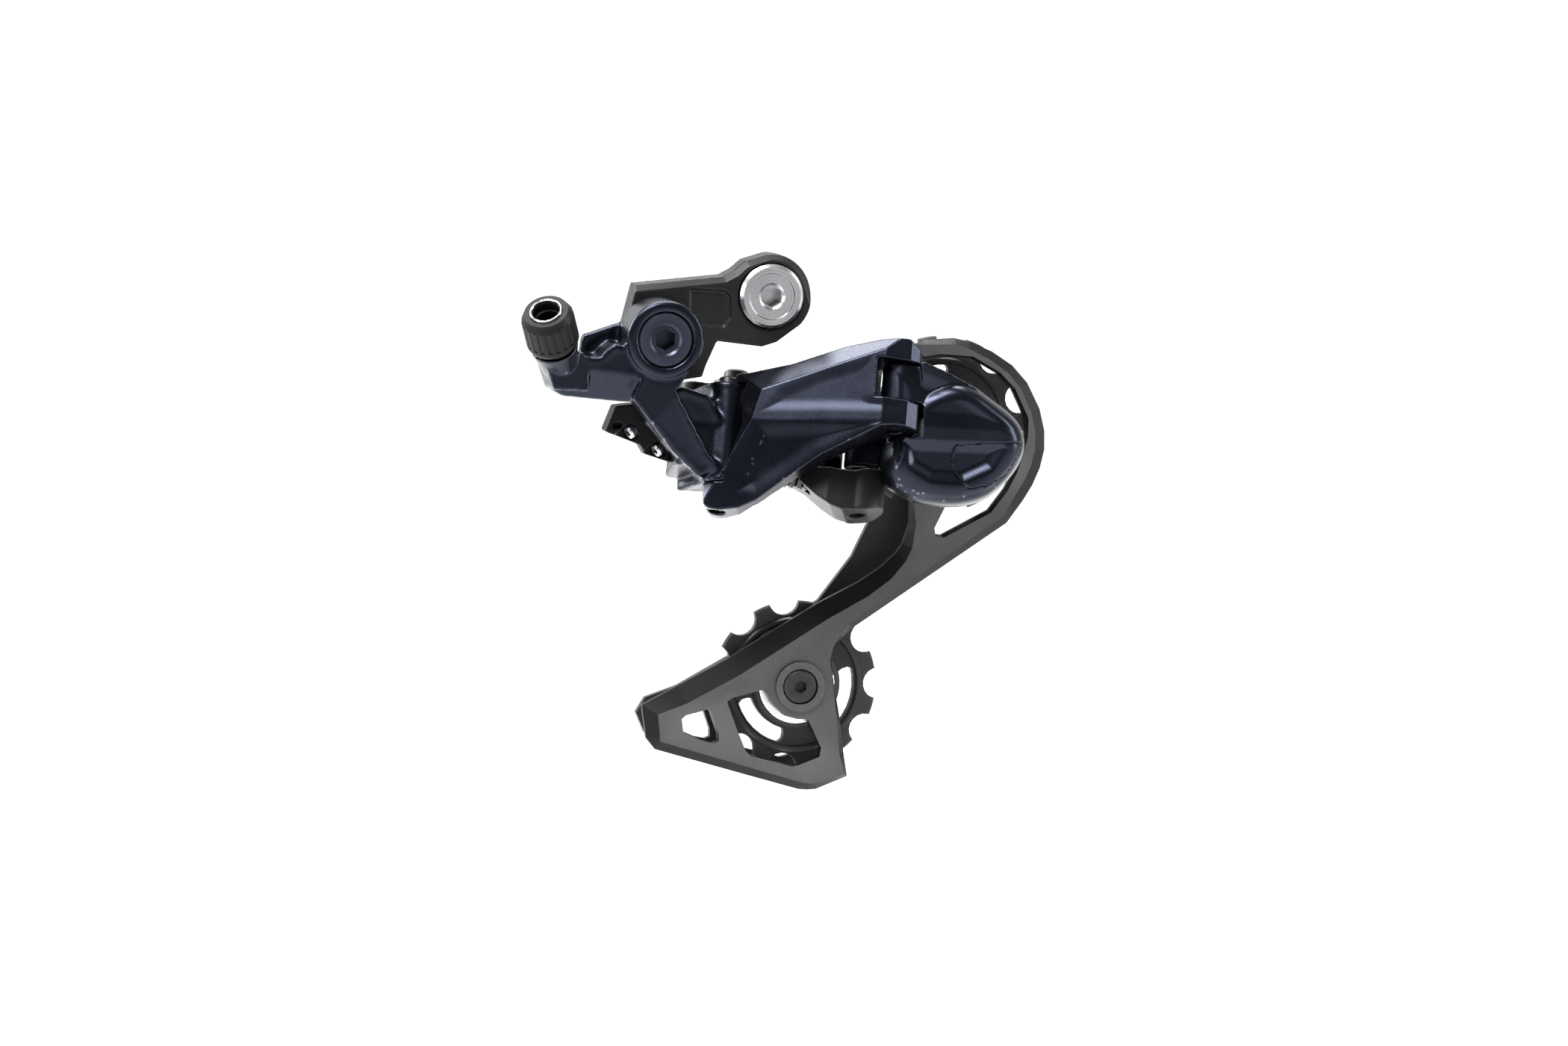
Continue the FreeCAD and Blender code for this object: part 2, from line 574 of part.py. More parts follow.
def make_adjusters(knuckle):
    bx, bz = num(b_axle[0]), num(b_axle[1])
    block = prism_y([(bx - 10.5, bz - 18.2), (bx - 4.9, bz - 17.8), (bx - 1.8, bz - 21.6),
                     (bx + 4.6, bz - 29.3), (bx + 7.2, bz - 32.8), (bx + 3.7, bz - 33.2),
                     (bx - 2.5, bz - 31.1), (bx - 3.9, bz - 28.6), (bx - 13.3, bz - 24.8)],
                    -8.2, -2.4)
    block = soften(block, 0.7, lambda e: abs(e.BoundBox.YLength - 5.8) < 1e-3)
    holes = []
    for head in (HIGH_SCREW, LOW_SCREW):
        holes.append(Part.makeCylinder(1.3, 20, head - SCREW_DIR * 18, SCREW_DIR))
        holes.append(Part.makeCylinder(2.1, 8, head - SCREW_DIR * 1.4, SCREW_DIR))
    slot = Part.makeBox(2.4, 3.0, 1.4, vec(bx - 11.2, -9.2, bz - 24.0))
    block = clean(block.cut(holes + [slot, knuckle]))
    solid_part("adjust_block", max(block.Solids, key=lambda s: s.Volume))
    for name, head in (("high_limit_screw", HIGH_SCREW), ("low_limit_screw", LOW_SCREW)):
        turned(name, [(0, -9.0), (0.9, -9.0), (1.2, -8.6), (1.2, -1.3), (1.9, -1.3),
                      (1.9, 0.1), (1.6, 0.5), (0, 0.5)],
               (head.x, head.y, head.z), SCREW_ROT, (1.5, 0.5, 1.0))
    screw_rot = FreeCAD.Rotation(FreeCAD.Vector(0, 0, 1), FreeCAD.Vector(-1, 0, 0))
    turned("b_tension_screw", [(0, -13.0), (1.0, -13.0), (1.45, -12.4), (1.45, 0.0), (2.3, 0.0),
                               (2.3, 1.7), (1.9, 2.1), (0, 2.1)],
           (TENSION_SCREW.x, TENSION_SCREW.y, TENSION_SCREW.z), screw_rot, (2.0, 2.1, 1.4))


def make_barrel():
    """Barrel adjuster: threaded stem, fluted grip and the socket for the cable housing."""
    seat = (BARREL_SEAT.x, BARREL_SEAT.y, BARREL_SEAT.z)
    body = new_body("barrel_grip")
    revolve(body, "grip_profile",
            [(2.1, -7.0), (2.5, -6.6), (2.5, 0.3), (5.4, 0.3), (barrel_r - 0.4, 1.5),
             (barrel_r, 2.4), (barrel_r, 10.2), (barrel_r - 1.1, 12.4), (4.45, 12.4),
             (4.3, 12.0), (4.3, 3.2), (1.0, 3.2), (1.0, -7.0)])
    sketch = plane_sketch(body, "grip_flute", "XY_Plane", 13.0)
    draw_circle(sketch, barrel_r + 0.75, 0, 1.0)
    flute = body.newObject("PartDesign::Pocket", "grip_flute_cut")
    flute.Profile = sketch
    flute.Length = 9.6
    body.Tip = flute
    DOC.recompute()
    around = body.newObject("PartDesign::PolarPattern", "grip_flutes")
    around.Originals = [flute]
    around.Axis = ([f for f in body.Origin.OriginFeatures if f.Role == "Z_Axis"][0], [""])
    around.Angle = 360
    around.Occurrences = 20
    body.Tip = around
    place(body, seat, BARREL_ROT)
    keep(body, "barrel_grip")
    turned("barrel_liner", [(1.0, 3.2), (4.28, 3.2), (4.28, 12.0), (3.55, 12.0), (3.55, 9.8),
                            (socket_r, 9.5), (socket_r, 4.4), (1.0, 4.4)], seat, BARREL_ROT)
    turned("barrel_ring", [(3.7, 12.02), (4.28, 12.02), (4.28, 12.7), (4.14, 12.9), (3.84, 12.9),
                           (3.7, 12.7)], seat, BARREL_ROT)


# ---------------------------------------------------------------- links
def make_outer_link():
    length = num(link_len)
    half = num(block_half)
    front = [(-4.0, -half - 0.3), (-3.1, -19.8), (-1.9, -20.7), (0.9, -21.0), (5.8, -20.3),
             (10.5, -18.1), (17.9, -12.2), (27.1, -5.4), (length - 2.8, 2.8),
             (length + 1.0, 3.5), (length + 6.2, 3.3), (length + 6.2, 10.4),
             (length - 5.2, 10.4), (length - 5.2, 21.1), (length + 5.4, 21.1),
             (length + 5.4, 25.1), (length + 2.5, 27.0), (length - 4.8, 26.7), (30.5, 24.5),
             (17.2, 19.2), (5.7, 16.6), (-5.6, 16.0), (-5.6, half + 0.3), (0.6, 12.3),
             (3.8, 8.9), (5.1, 6.5), (5.5, 1.2), (2.6, -8.6), (1.9, -10.4), (-1.5, -12.4)]
    plan = [(0, 5.8), (-4.1, 4.1), (-5.8, 0), (-4.3, -4.2), (0.5, -7.4), (8.3, -8.4),
            (length - 3.0, -8.0), (length + 3.2, -5.6), (length + 5.7, -2.4), (length + 6.0, 0),
            (length + 4.2, 4.2), (length, 6.0), (length - 5.0, 4.0), (length - 7.0, 1.5),
            (24.0, 1.5), (20.0, 0.4), (9.5, 0.4), (5.4, 3.4)]
    shape = prism_front(front, -9.0, 7.0, LINK_OUT)
    shape = shape.common(prism_z(plan, -23, 29, LINK_OUT))
    shape = slice_off(shape, (8.3, -8.5, 2.8), (length + 3.0, -8.5, 5.3), (18.0, -5.2, -12.0), LINK_OUT)
    shape = slice_off(shape, (14.0, -8.3, 12.3), (length - 4.4, -8.3, 22.7), (17.2, -4.0, 19.4),
                      LINK_OUT)
    shape = slice_off(shape, (1.7, -7.2, -16.8), (8.3, -8.4, 2.8), (2.6, -6.3, -8.6), LINK_OUT)
    hollow = prism_front([(-8.0, half + 0.3), (8.0, half + 0.3), (18.0, 16.6),
                          (length - 7.0, 23.6), (length - 7.0, 2.9), (27.0, -2.6), (17.5, -9.4),
                          (11.5, -half - 0.3), (-8.0, -half - 0.3)], -4.2, 8.0, LINK_OUT)
    pin_room = rod(4.9 + num(side), -half - 0.3, half + 0.3, LINK_OUT)
    tools = [hollow, pin_room]
    r = num(pin_r) + num(run)
    tools.append(rod(r, -30, 40, LINK_OUT))
    tools.append(rod(r, -30, 40, LINK_OUT, length))
    shape = clean(shape.cut(tools))
    solid_part("outer_link", max(shape.Solids, key=lambda s: s.Volume))


def make_inner_link():
    length = num(link_len)
    half = num(block_half)
    low = half + 0.3
    top = low + TAB
    foot = INNER_LOW + 0.3
    web = prism_front([(7.0, -foot - TAB), (10.0, -foot - TAB), (14.5, -foot - TAB),
                       (20.0, -1.4), (length - 5.4, -1.4), (length - 5.4, top), (9.4, top),
                       (9.4, -foot), (7.0, -foot)], -2.6, 2.6, LINK_IN)
    pocket_in = prism_front([(14.0, 2.0), (length - 10.0, 2.0), (length - 10.0, top - 3.4),
                             (14.0, top - 3.4)], 0.2, 3.0, LINK_IN)
    tabs = []
    for z0, z1 in ((low, top), (-foot - TAB, -foot)):
        tabs.append(rod(4.6, z0, z1, LINK_IN))
        tabs.append(prism_z([(0, -4.2), (10.0, -2.6), (10.0, 2.6), (0, 4.2)], z0, z1, LINK_IN))
    for z0, z1 in ((13.35, 16.6), (-8.2, -4.05)):
        tabs.append(rod(4.6, z0, z1, LINK_IN, length))
        tabs.append(prism_z([(length, -4.2), (length, 4.2), (length - 7.0, 2.6),
                             (length - 7.0, -2.6)], z0, z1, LINK_IN))
    tabs.append(prism_front([(length - 9.0, -8.2), (length - 5.4, -8.2), (length - 5.4, 0.0),
                             (length - 12.0, 0.0)], -2.6, 2.6, LINK_IN))
    # shelf for the cable clamp, above the pin
    shelf = prism_z([(5.0, -4.4), (12.6, -4.4), (14.6, -2.0), (14.6, 2.6), (5.0, 2.6)],
                    low, top, LINK_IN)
    # cup under the spring
    cup = prism_z([(20.0, 2.6), (20.0, -3.0), (25.0, -8.4), (30.0, -10.0), (38.0, -10.0),
                   (length, -CUP_R), (length, CUP_R), (length - 4.0, 5.4), (27.0, 4.6)],
                  -18.0, -4.0, LINK_IN).fuse(rod(CUP_R, -18.0, -4.0, LINK_IN, length))
    cup = cup.common(prism_front([(22.0, -6.6), (25.0, -7.6), (30.5, -10.4), (35.0, -14.0),
                                  (38.7, -16.2), (42.0, -17.0), (48.0, -16.2), (52.0, -14.6),
                                  (53.0, -12.0), (52.0, -6.4), (50.6, -4.9), (47.0, -5.2),
                                  (44.0, -6.2), (36.0, -6.4), (30.0, -5.4)], -14.0, 8.0, LINK_IN))
    wall = prism_z([(18.0, 2.6), (18.0, -1.4), (22.0, -0.6), (28.0, 2.5), (length - 2.0, 2.9),
                    (length + 1.0, 3.4), (length + 1.0, 5.4), (length - 3.0, 5.4), (27.0, 4.6)],
                   -8.0, -4.05, LINK_IN)
    brace = prism_z([(13.0, 2.6), (13.0, 0.0), (28.0, 2.4), (length - 5.5, 2.4),
                     (length - 5.5, 4.2), (27.0, 4.4)], -5.0, 1.0, LINK_IN)
    shape = web.fuse(tabs + [shelf, cup, wall, brace]).cut([pocket_in])
    r = num(pin_r) + num(run)
    shape = shape.cut(link_sweep(5.3, -3.9, 13.2, LINK_IN, length))
    shape = shape.cut(Part.makeCylinder(SPRING_R + SPRING_WIRE + 0.6, 24.0,
                                        SPRING_FROM + SPRING_DIR * 9.0, SPRING_DIR))
    eye_dir = SPRING_EYE_SIDE - SPRING_LAST
    shape = shape.cut(Part.makeCylinder(SPRING_WIRE + 0.3, eye_dir.Length + 1.0,
                                        SPRING_LAST, eye_dir))
    shape = shape.cut([rod(r, -30, 30, LINK_IN), rod(r, -30, 30, LINK_IN, length),
                       rod(num(pin_r) + 2.4, -12.6, -8.25, LINK_IN, length),
                       rod(2.0, low + 0.2, top + 1, LINK_IN, 10.4, -0.6)])
    shape = clean(shape)
    solid_part("inner_link", max(shape.Solids, key=lambda s: s.Volume))

    plate = prism_z([(6.4, -3.4), (13.6, -3.4), (14.4, -2.2), (14.4, 2.2), (7.4, 2.2)],
                    top, top + 1.3, LINK_IN)
    plate = plate.cut([rod(2.1, top - 1, top + 3, LINK_IN, 10.4, -0.6),
                       rod(0.7, -20, 20, LINK_IN.multiply(FreeCAD.Placement(
                           vec(10.4, 1.9, top), turn((0, 1, 0), 90))))])
    solid_part("cable_clamp_plate", clean(plate))
    head = LINK_IN.multVec(vec(10.4, -0.6, top + 1.3))
    turned("cable_clamp_bolt", [(0, -4.0), (1.7, -4.0), (1.98, -3.7), (1.98, 0.0), (3.4, 0.0),
                                (3.4, 2.3), (2.9, 2.8), (0, 2.8)],
           (head.x, head.y, head.z), ROT_K, (3.0, 2.8, 1.8))


def make_return_spring():
    """Tension spring across the linkage, from the outer b pin to the inner p pin."""
    body = coil(SPRING_R, SPRING_WIRE, SPRING_TURNS, SPRING_PITCH, SPRING_FRAME)
    hooks = []
    for a, b in ((SPRING_FIRST, SPRING_HOOK), (SPRING_LAST, SPRING_EYE_SIDE)):
        hooks.append(Part.makeCylinder(SPRING_WIRE, (b - a).Length, a, b - a))
        hooks.append(Part.makeSphere(SPRING_WIRE, a))
    ring = Part.makeTorus(num(pin_r) + SPRING_WIRE + 0.06, SPRING_WIRE)
    ring.Placement = FreeCAD.Placement(SPRING_EYE, ROT_R)
    shape = clean(body.fuse(hooks + [ring]))
    solid_part("return_spring", max(shape.Solids, key=lambda s: s.Volume))


# ---------------------------------------------------------------- p knuckle
def polar_wire(radii, y, cx, cz):
    """Smooth closed outline: one radius every equal step, anticlockwise from the front."""
    points = []
    count = len(radii)
    for i, r in enumerate(radii):
        a = 2 * math.pi * i / count
        points.append(vec(cx + r * math.cos(a), y, cz + r * math.sin(a)))
    curve = Part.BSplineCurve()
    curve.interpolate(points, PeriodicFlag=True)
    return Part.Wire([curve.toShape()])


SHELL = (20.0, 18.2, 16.0, 14.9, 14.8, 15.0, 15.2, 15.2, 15.2, 15.2, 15.2, 15.2,
         15.8, 18.4, 20.8, 20.4, 19.4, 18.6, 18.4, 18.7, 19.1, 19.3, 19.8, 20.4)


def make_p_knuckle():
    cx, cz = P_AXLE.x, P_AXLE.z
    bulk = num(p_shell) / 15.2
    back = num(outer_y0) - 1.0
    grown = [r * bulk for r in SHELL]
    round_back = [num(p_shell)] * len(SHELL)

    def blend(a, b, w):
        return [p * (1 - w) + q * w for p, q in zip(a, b)]

    sections = [polar_wire([r * 0.66 for r in grown], -28.2, cx, cz),
                polar_wire([r * 0.86 for r in grown], -26.6, cx, cz),
                polar_wire([r * 0.965 for r in grown], -23.4, cx, cz),
                polar_wire(grown, -19.6, cx, cz),
                polar_wire(blend(grown, round_back, 0.55), -13.6, cx, cz),
                polar_wire(blend(grown, round_back, 0.92), -9.0, cx, cz),
                polar_wire(round_back, -6.0, cx, cz)]
    shell = Part.makeLoft(sections, True, False)
    barrel = rod_y(num(p_shell) - 0.25, -8.0, back, cx, cz)
    top = prism_y([(cx - 8.6, cz + 20.2), (cx - 7.4, cz + 20.2), (cx - 0.5, cz + 17.0),
                   (cx + 5.5, cz + 13.7), (cx + 13.5, cz + 7.1), (cx + 19.0, cz + 1.8),
                   (cx + 14.0, cz - 4.0), (cx - 7.6, cz - 2.0), (cx - 7.9, cz + 9.0)],
                  -26.0, -15.0)
    top = slice_off(top, (cx - 8.0, -26.2, cz + 14.0), (cx + 19.0, -22.5, cz + 1.0),
                    (cx - 2.0, -25.5, cz + 2.0), FreeCAD.Placement())
    lug = rod(4.5, 10.8, 20.7, FRAME_P).fuse(
        prism_z([(0, -4.5), (10.5, -4.0), (11.5, 7.0), (0, 4.5)], 10.8, 20.7, FRAME_P))
    sx, sy = SKEW[0].value, SKEW[1].value
    inner = rod(4.5, -3.7, 13.0, FRAME_P, sx, sy).fuse(
        prism_z([(sx, sy - 4.4), (sx + 12.5, sy - 6.5), (sx + 14.0, sy + 1.5), (sx, sy + 4.4)],
                -3.7, 13.0, FRAME_P))
    inner = inner.common(Part.makeBox(200, 200, 200, vec(-100, -200 + back, -100)))
    shape = shell
    for piece in (barrel, top, lug, inner):
        shape = shape.fuse(piece)
    tools = []
    for z0, z1 in ((2.2, 10.75), (20.75, 34.0)):
        tools.append(rod(7.3, z0, z1, FRAME_P))
        tools.append(prism_z([(0, -7.3), (7.3, 0), (0, 7.3), (-30, 18), (-30, -26)],
                             z0, z1, FRAME_P))
    for z0, z1, r in ((13.05, 30.0, 5.2), (-24.0, -3.75, CUP_R + 0.5)):
        tools.append(rod(r, z0, z1, FRAME_P, sx, sy))
        tools.append(prism_z([(sx, sy - r), (sx, sy + r), (sx - 30, sy + 26),
                              (sx - 30, sy - 24)], z0, z1, FRAME_P))
    for x, y in ((0.0, 0.0), (sx, sy)):
        tools.append(rod(num(pin_r), -20, 40, FRAME_P, x, y))
    # p axle: bush bore, spring room open towards the cage
    tools.append(rod_y(num(p_r) + 1.3, -17.5, 5.0, cx, cz))
    tools.append(rod_y(num(p_shell) - 4.0, -13.5, 5.0, cx, cz))
    for tool in tools:
        shape = shape.cut(tool)
    main = max(clean(shape).Solids, key=lambda s: s.Volume)

    # teardrop cap on the front: the part of the shell ahead of a curved joint line
    cap_room = prism_y([(cx + 0.3, cz - 1.6), (cx + 10.0, cz - 1.0), (cx + 18.3, cz - 1.4),
                        (cx + 17.6, cz - 4.0), (cx + 13.4, cz - 9.6), (cx + 8.4, cz - 12.2),
                        (cx + 3.6, cz - 12.8), (cx + 0.6, cz - 9.6), (cx - 0.6, cz - 5.6)],
                       -30.0, -21.5)
    cap = main.common(cap_room)
    main = clean(main.cut(cap_room))
    solid_part("p_knuckle", max(main.Solids, key=lambda s: s.Volume))
    solid_part("p_cap", max(cap.Solids, key=lambda s: s.Volume))

    base = (cx, 0, cz)
    turned("p_axle_bush", [(p_r + run, -num(outer_y0) + 1.2), (p_r + 1.28, -num(outer_y0) + 1.2),
                           (p_r + 1.28, 17.4), (p_r + run, 17.4)], base, OUT)
    ring_y = -(outer_y0 - 0.25)
    turned("p_seal_ring", [(p_shell - 2.6, ring_y), (p_shell - 1.2, ring_y),
                           (p_shell - 1.2, ring_y + 0.75), (p_shell - 2.6, ring_y + 0.75)],
           base, OUT)
    frame = FreeCAD.Placement(vec(cx, num(outer_y0) - 2.0, cz), OUT)
    solid_part("p_spring", coil(8.4, 0.85, 6, 1.8, frame))


# ---------------------------------------------------------------- cage
def cage_outline():
    """Outer plate: (x, z, bevel) in the cage frame, clockwise from the hook's free end."""
    g = num(pulley_gap)
    points = [(-17.5, 15.1, 0.6), (-15.9, 17.1, 1.0), (-9.2, 21.4, 1.4), (-5.2, 22.6, 1.8),
              (1.3, 23.3, 2.2), (8.0, 22.8, 2.4), (13.9, 20.8, 2.6), (20.3, 16.5, 2.8),
              (24.4, 12.1, 2.9), (26.9, 7.8, 3.0), (28.3, 3.0, 3.0), (28.8, -1.9, 3.0),
              (28.6, -6.8, 3.0), (27.7, -14.0, 2.4), (5.0, 20.0 - g, 2.0), (4.2, 17.3 - g, 1.4),
              (3.4, 13.6 - g, 0.8), (4.2, 10.4 - g, 0.7), (8.5, 4.7 - g, 0.8),
              (14.9, -3.0 - g, 1.2), (19.5, -9.3 - g, 1.6), (23.6, -14.4 - g, 1.4),
              (17.9, -21.4 - g, 1.8), (15.9, -22.7 - g, 1.9),
              (13.7, -23.7 - g, 2.0), (0.0, -27.0 - g, 2.2), (-25.4, -33.0 - g, 2.4),
              (-29.0, -31.6 - g, 3.4), (-34.4, -24.6 - g, 4.6), (-28.6, -15.7 - g, 5.0),
              (-20.0, -2.5 - g, 5.0), (-6.3, 21.5 - g, 4.6), (0.5, 31.6 - g, 4.2),
              (3.8, 37.9 - g, 3.8), (5.5, 43.2 - g, 3.0), (5.8, -32.4, 2.4), (4.6, -26.7, 1.4),
              (1.6, -21.6, 0.8)]
    cx, cz = cage_local_axle()
    r = num(p_shell) - 0.6
    for a in (260, 240, 220, 200, 180, 160, 140, 120, 100, 80, 60, 40, 20, 0):
        points.append((cx + r * math.cos(math.radians(a)),
                       cz + r * math.sin(math.radians(a)), 0.5))
    points += [(11.0, -12.0, 0.5), (11.0, -18.4, 0.6), (11.3, -24.6, 0.6), (12.3, -25.9, 0.6),
               (13.8, -25.3, 0.6), (21.6, -13.5, 0.6), (22.6, -6.5, 0.6), (22.4, -1.0, 0.6),
               (21.6, 3.1, 0.6), (20.2, 8.4, 0.6), (18.1, 12.3, 0.6), (11.0, 17.3, 0.6),
               (5.5, 18.9, 0.6), (-2.8, 19.0, 0.6), (-10.8, 15.3, 0.6), (-14.6, 12.4, 0.6)]
    return points


def cage_local_axle():
    """P axle position in the cage frame (x, z)."""
    local = CAGE.inverse().multVec(P_AXLE)
    return local.x, local.y


def cage_windows():
    g = num(pulley_gap)
    first = [(-23.6, -22.7 - g), (-23.1, -21.3 - g), (-18.6, -17.0 - g), (-17.6, -17.2 - g),
             (-12.9, -21.3 - g), (-11.9, -23.0 - g), (-12.8, -24.1 - g), (-15.5, -25.0 - g),
             (-21.4, -25.6 - g)]
    second = [(-15.2, -12.9 - g), (-14.5, -11.4 - g), (-8.3, -5.5 - g), (-6.4, -6.0 - g),
              (-3.8, -7.6 - g), (0.3, -8.6 - g), (3.6, -7.8 - g), (6.2, -6.4 - g),
              (13.2, -11.3 - g), (14.0, -13.6 - g), (10.2, -18.1 - g), (8.7, -19.4 - g),
              (-2.4, -22.2 - g), (-4.3, -21.7 - g), (-9.9, -17.4 - g)]
    return first, second


def cage_face(points, depth):
    """Wire in the cage frame at a depth measured inboard from the hanger face."""
    ring = [FreeCAD.Vector(x, z, -depth) for x, z in points]
    return Part.makePolygon(ring + [ring[0]])


def cage_prism(points, y0, y1):
    face = Part.Face(cage_face(points, y0))
    return face.extrude(FreeCAD.Vector(0, 0, y0 - y1))


def cage_rod(x, z, r, y0, y1):
    return Part.makeCylinder(r, y1 - y0, FreeCAD.Vector(x, z, -y1))


def make_cage():
    g = num(pulley_gap)
    front, back = num(outer_y0), num(outer_y1)
    waist = front + 0.55 * (back - front)
    marks = cage_outline()
    flat = [(x, z) for x, z, inset in marks]
    lower = cage_prism(flat, waist, back)
    upper = Part.makeLoft([cage_face(flat, waist), cage_face(inset_ring(marks), front)], True, True)
    boss = cage_rod(0, -g, 6.6, front - 0.7, back)
    shape = lower.fuse([upper, boss])
    tools = [cage_prism(w, front - 2, back + 2) for w in cage_windows()]
    tools.append(cage_rod(0, -g, 4.7, front - 3, front + 1.0))
    tools.append(cage_rod(0, -g, num(pulley_bolt_r) + 0.05, front - 3, back + 1))
    tools.append(cage_rod(0, 0, num(pulley_bolt_r), front + 0.4, back + 1))
    cx, cz = cage_local_axle()
    tools.append(cage_rod(cx, cz, 2.3, front - 1, front + 2.4))
    shape = clean(shape.cut(tools))
    shape = max(shape.Solids, key=lambda s: s.Volume)
    shape.Placement = CAGE
    solid_part("cage_outer_plate", shape)

    front, back = num(inner_y0), num(inner_y1)
    top = [(11.6 * math.cos(math.radians(a)), 11.6 * math.sin(math.radians(a)))
           for a in range(150, -10, -16)]
    outline = top + [(11.6, -9.0), (9.0, -30.0), (4.2, 22.0 - g), (4.4, 12.0 - g),
                     (14.0, -1.5 - g), (18.5, -9.0 - g), (17.5, -16.5 - g), (11.5, -21.5 - g),
                     (-18.0, -29.5 - g), (-28.0, -30.5 - g), (-32.6, -27.0 - g),
                     (-32.4, -22.4 - g), (-26.3, -15.5 - g), (-18.0, -2.0 - g),
                     (-4.3, 22.3 - g), (-2.2, 36.7 - g), (-3.0, -28.0), (-10.4, -13.0),
                     (-12.4, -3.0)]
    body = new_body("cage_inner_plate")
    pad(body, "inner_outline", outline, -inner_y1, inner_t)
    first, second = cage_windows()
    pocket(body, "inner_window_a", -num(inner_y0), inner_t, first)
    pocket(body, "inner_window_b", -num(inner_y0), inner_t,
           [(x * 0.86, (z + g) * 0.9 - 1.2 - g) for x, z in second])
    pocket(body, "inner_bolt_holes", -num(inner_y0), inner_t, None,
           [(0, 0, pulley_bolt_r + 0.05), (0, -pulley_gap, pulley_bolt_r)])
    body.Placement = CAGE
    keep(body, "cage_inner_plate")

    # p axle: its shouldered foot is riveted into the outer plate
    foot = -(outer_y0 + 2.3)
    turned("p_axle", [(0, foot), (2.3, foot), (2.3, -outer_y0), (p_r, -outer_y0), (p_r, 17.0),
                      (p_r - 0.6, 17.4), (0, 17.4)], (P_AXLE.x, 0, P_AXLE.z), OUT)


def at_cage(x, z):
    """Placement of a turned part whose axis stands on the cage at (x, z)."""
    point = CAGE.multVec(vec(x, z, 0))
    return (point.x, 0, point.z)


def make_pulley(name, tip, x, z, phase, window_mid):
    """Toothed wheel with a webbed rim; local z runs outboard, thickness is centred on z = 0."""
    pitch_r = chain_pitch / (2 * math.sin(math.pi / TEETH))
    hub = 6.1
    body = new_body(name)
    revolve(body, name + "_wheel",
            [(hub, -2.7), (11.0, -2.7), (11.6, -2.1), (11.6, -1.3), (16.2, -1.3), (16.7, -2.2),
             (17.5, -2.2), (18.0, -1.3), (tip - 0.4, -1.0), (tip, -0.6), (tip, 0.6),
             (tip - 0.4, 1.0), (18.0, 1.3), (17.5, 2.2), (16.7, 2.2), (16.2, 1.3), (11.6, 1.3),
             (11.6, 2.1), (11.0, 2.7), (hub, 2.7)])
    DOC.recompute()

    def around(cut, label, count):
        pattern = body.newObject("PartDesign::PolarPattern", label)
        pattern.Originals = [cut]
        pattern.Axis = ([f for f in body.Origin.OriginFeatures if f.Role == "Z_Axis"][0], [""])
        pattern.Angle = 360
        pattern.Occurrences = count
        body.Tip = pattern
        DOC.recompute()

    r = num(roller_cut)
    sides = [(num(pitch_r) + r * math.cos(math.radians(a)), r * math.sin(math.radians(a)))
             for a in range(90, 271, 20)]
    valley = [(num(tip) + 6.0, r + 0.9)] + sides + [(num(tip) + 6.0, -r - 0.9)]
    around(pocket(body, name + "_valley", 4.0, 8.0, valley), name + "_teeth", TEETH)
    window = []
    for r, steps in ((12.1, (-25, -29)), (13.3, (-31,)), (14.8, (-31,)),
                     (15.9, (-28, -20, -10, 0, 10, 20, 28)), (14.8, (31,)), (13.3, (31,)),
                     (12.1, (29, 25, 17, 8, 0, -8, -17))):
        for a in steps:
            angle = math.radians(a + window_mid)
            window.append((r * math.cos(angle), r * math.sin(angle)))
    around(pocket(body, name + "_window", 4.0, 8.0, window), name + "_web", 3)
    base = at_cage(x, z)
    spin = CAGE_ROT.multiply(turn((0, 0, 1), phase))
    body.Placement = FreeCAD.Placement(vec(base[0], pulley_mid, base[2]), spin)
    keep(body, name)


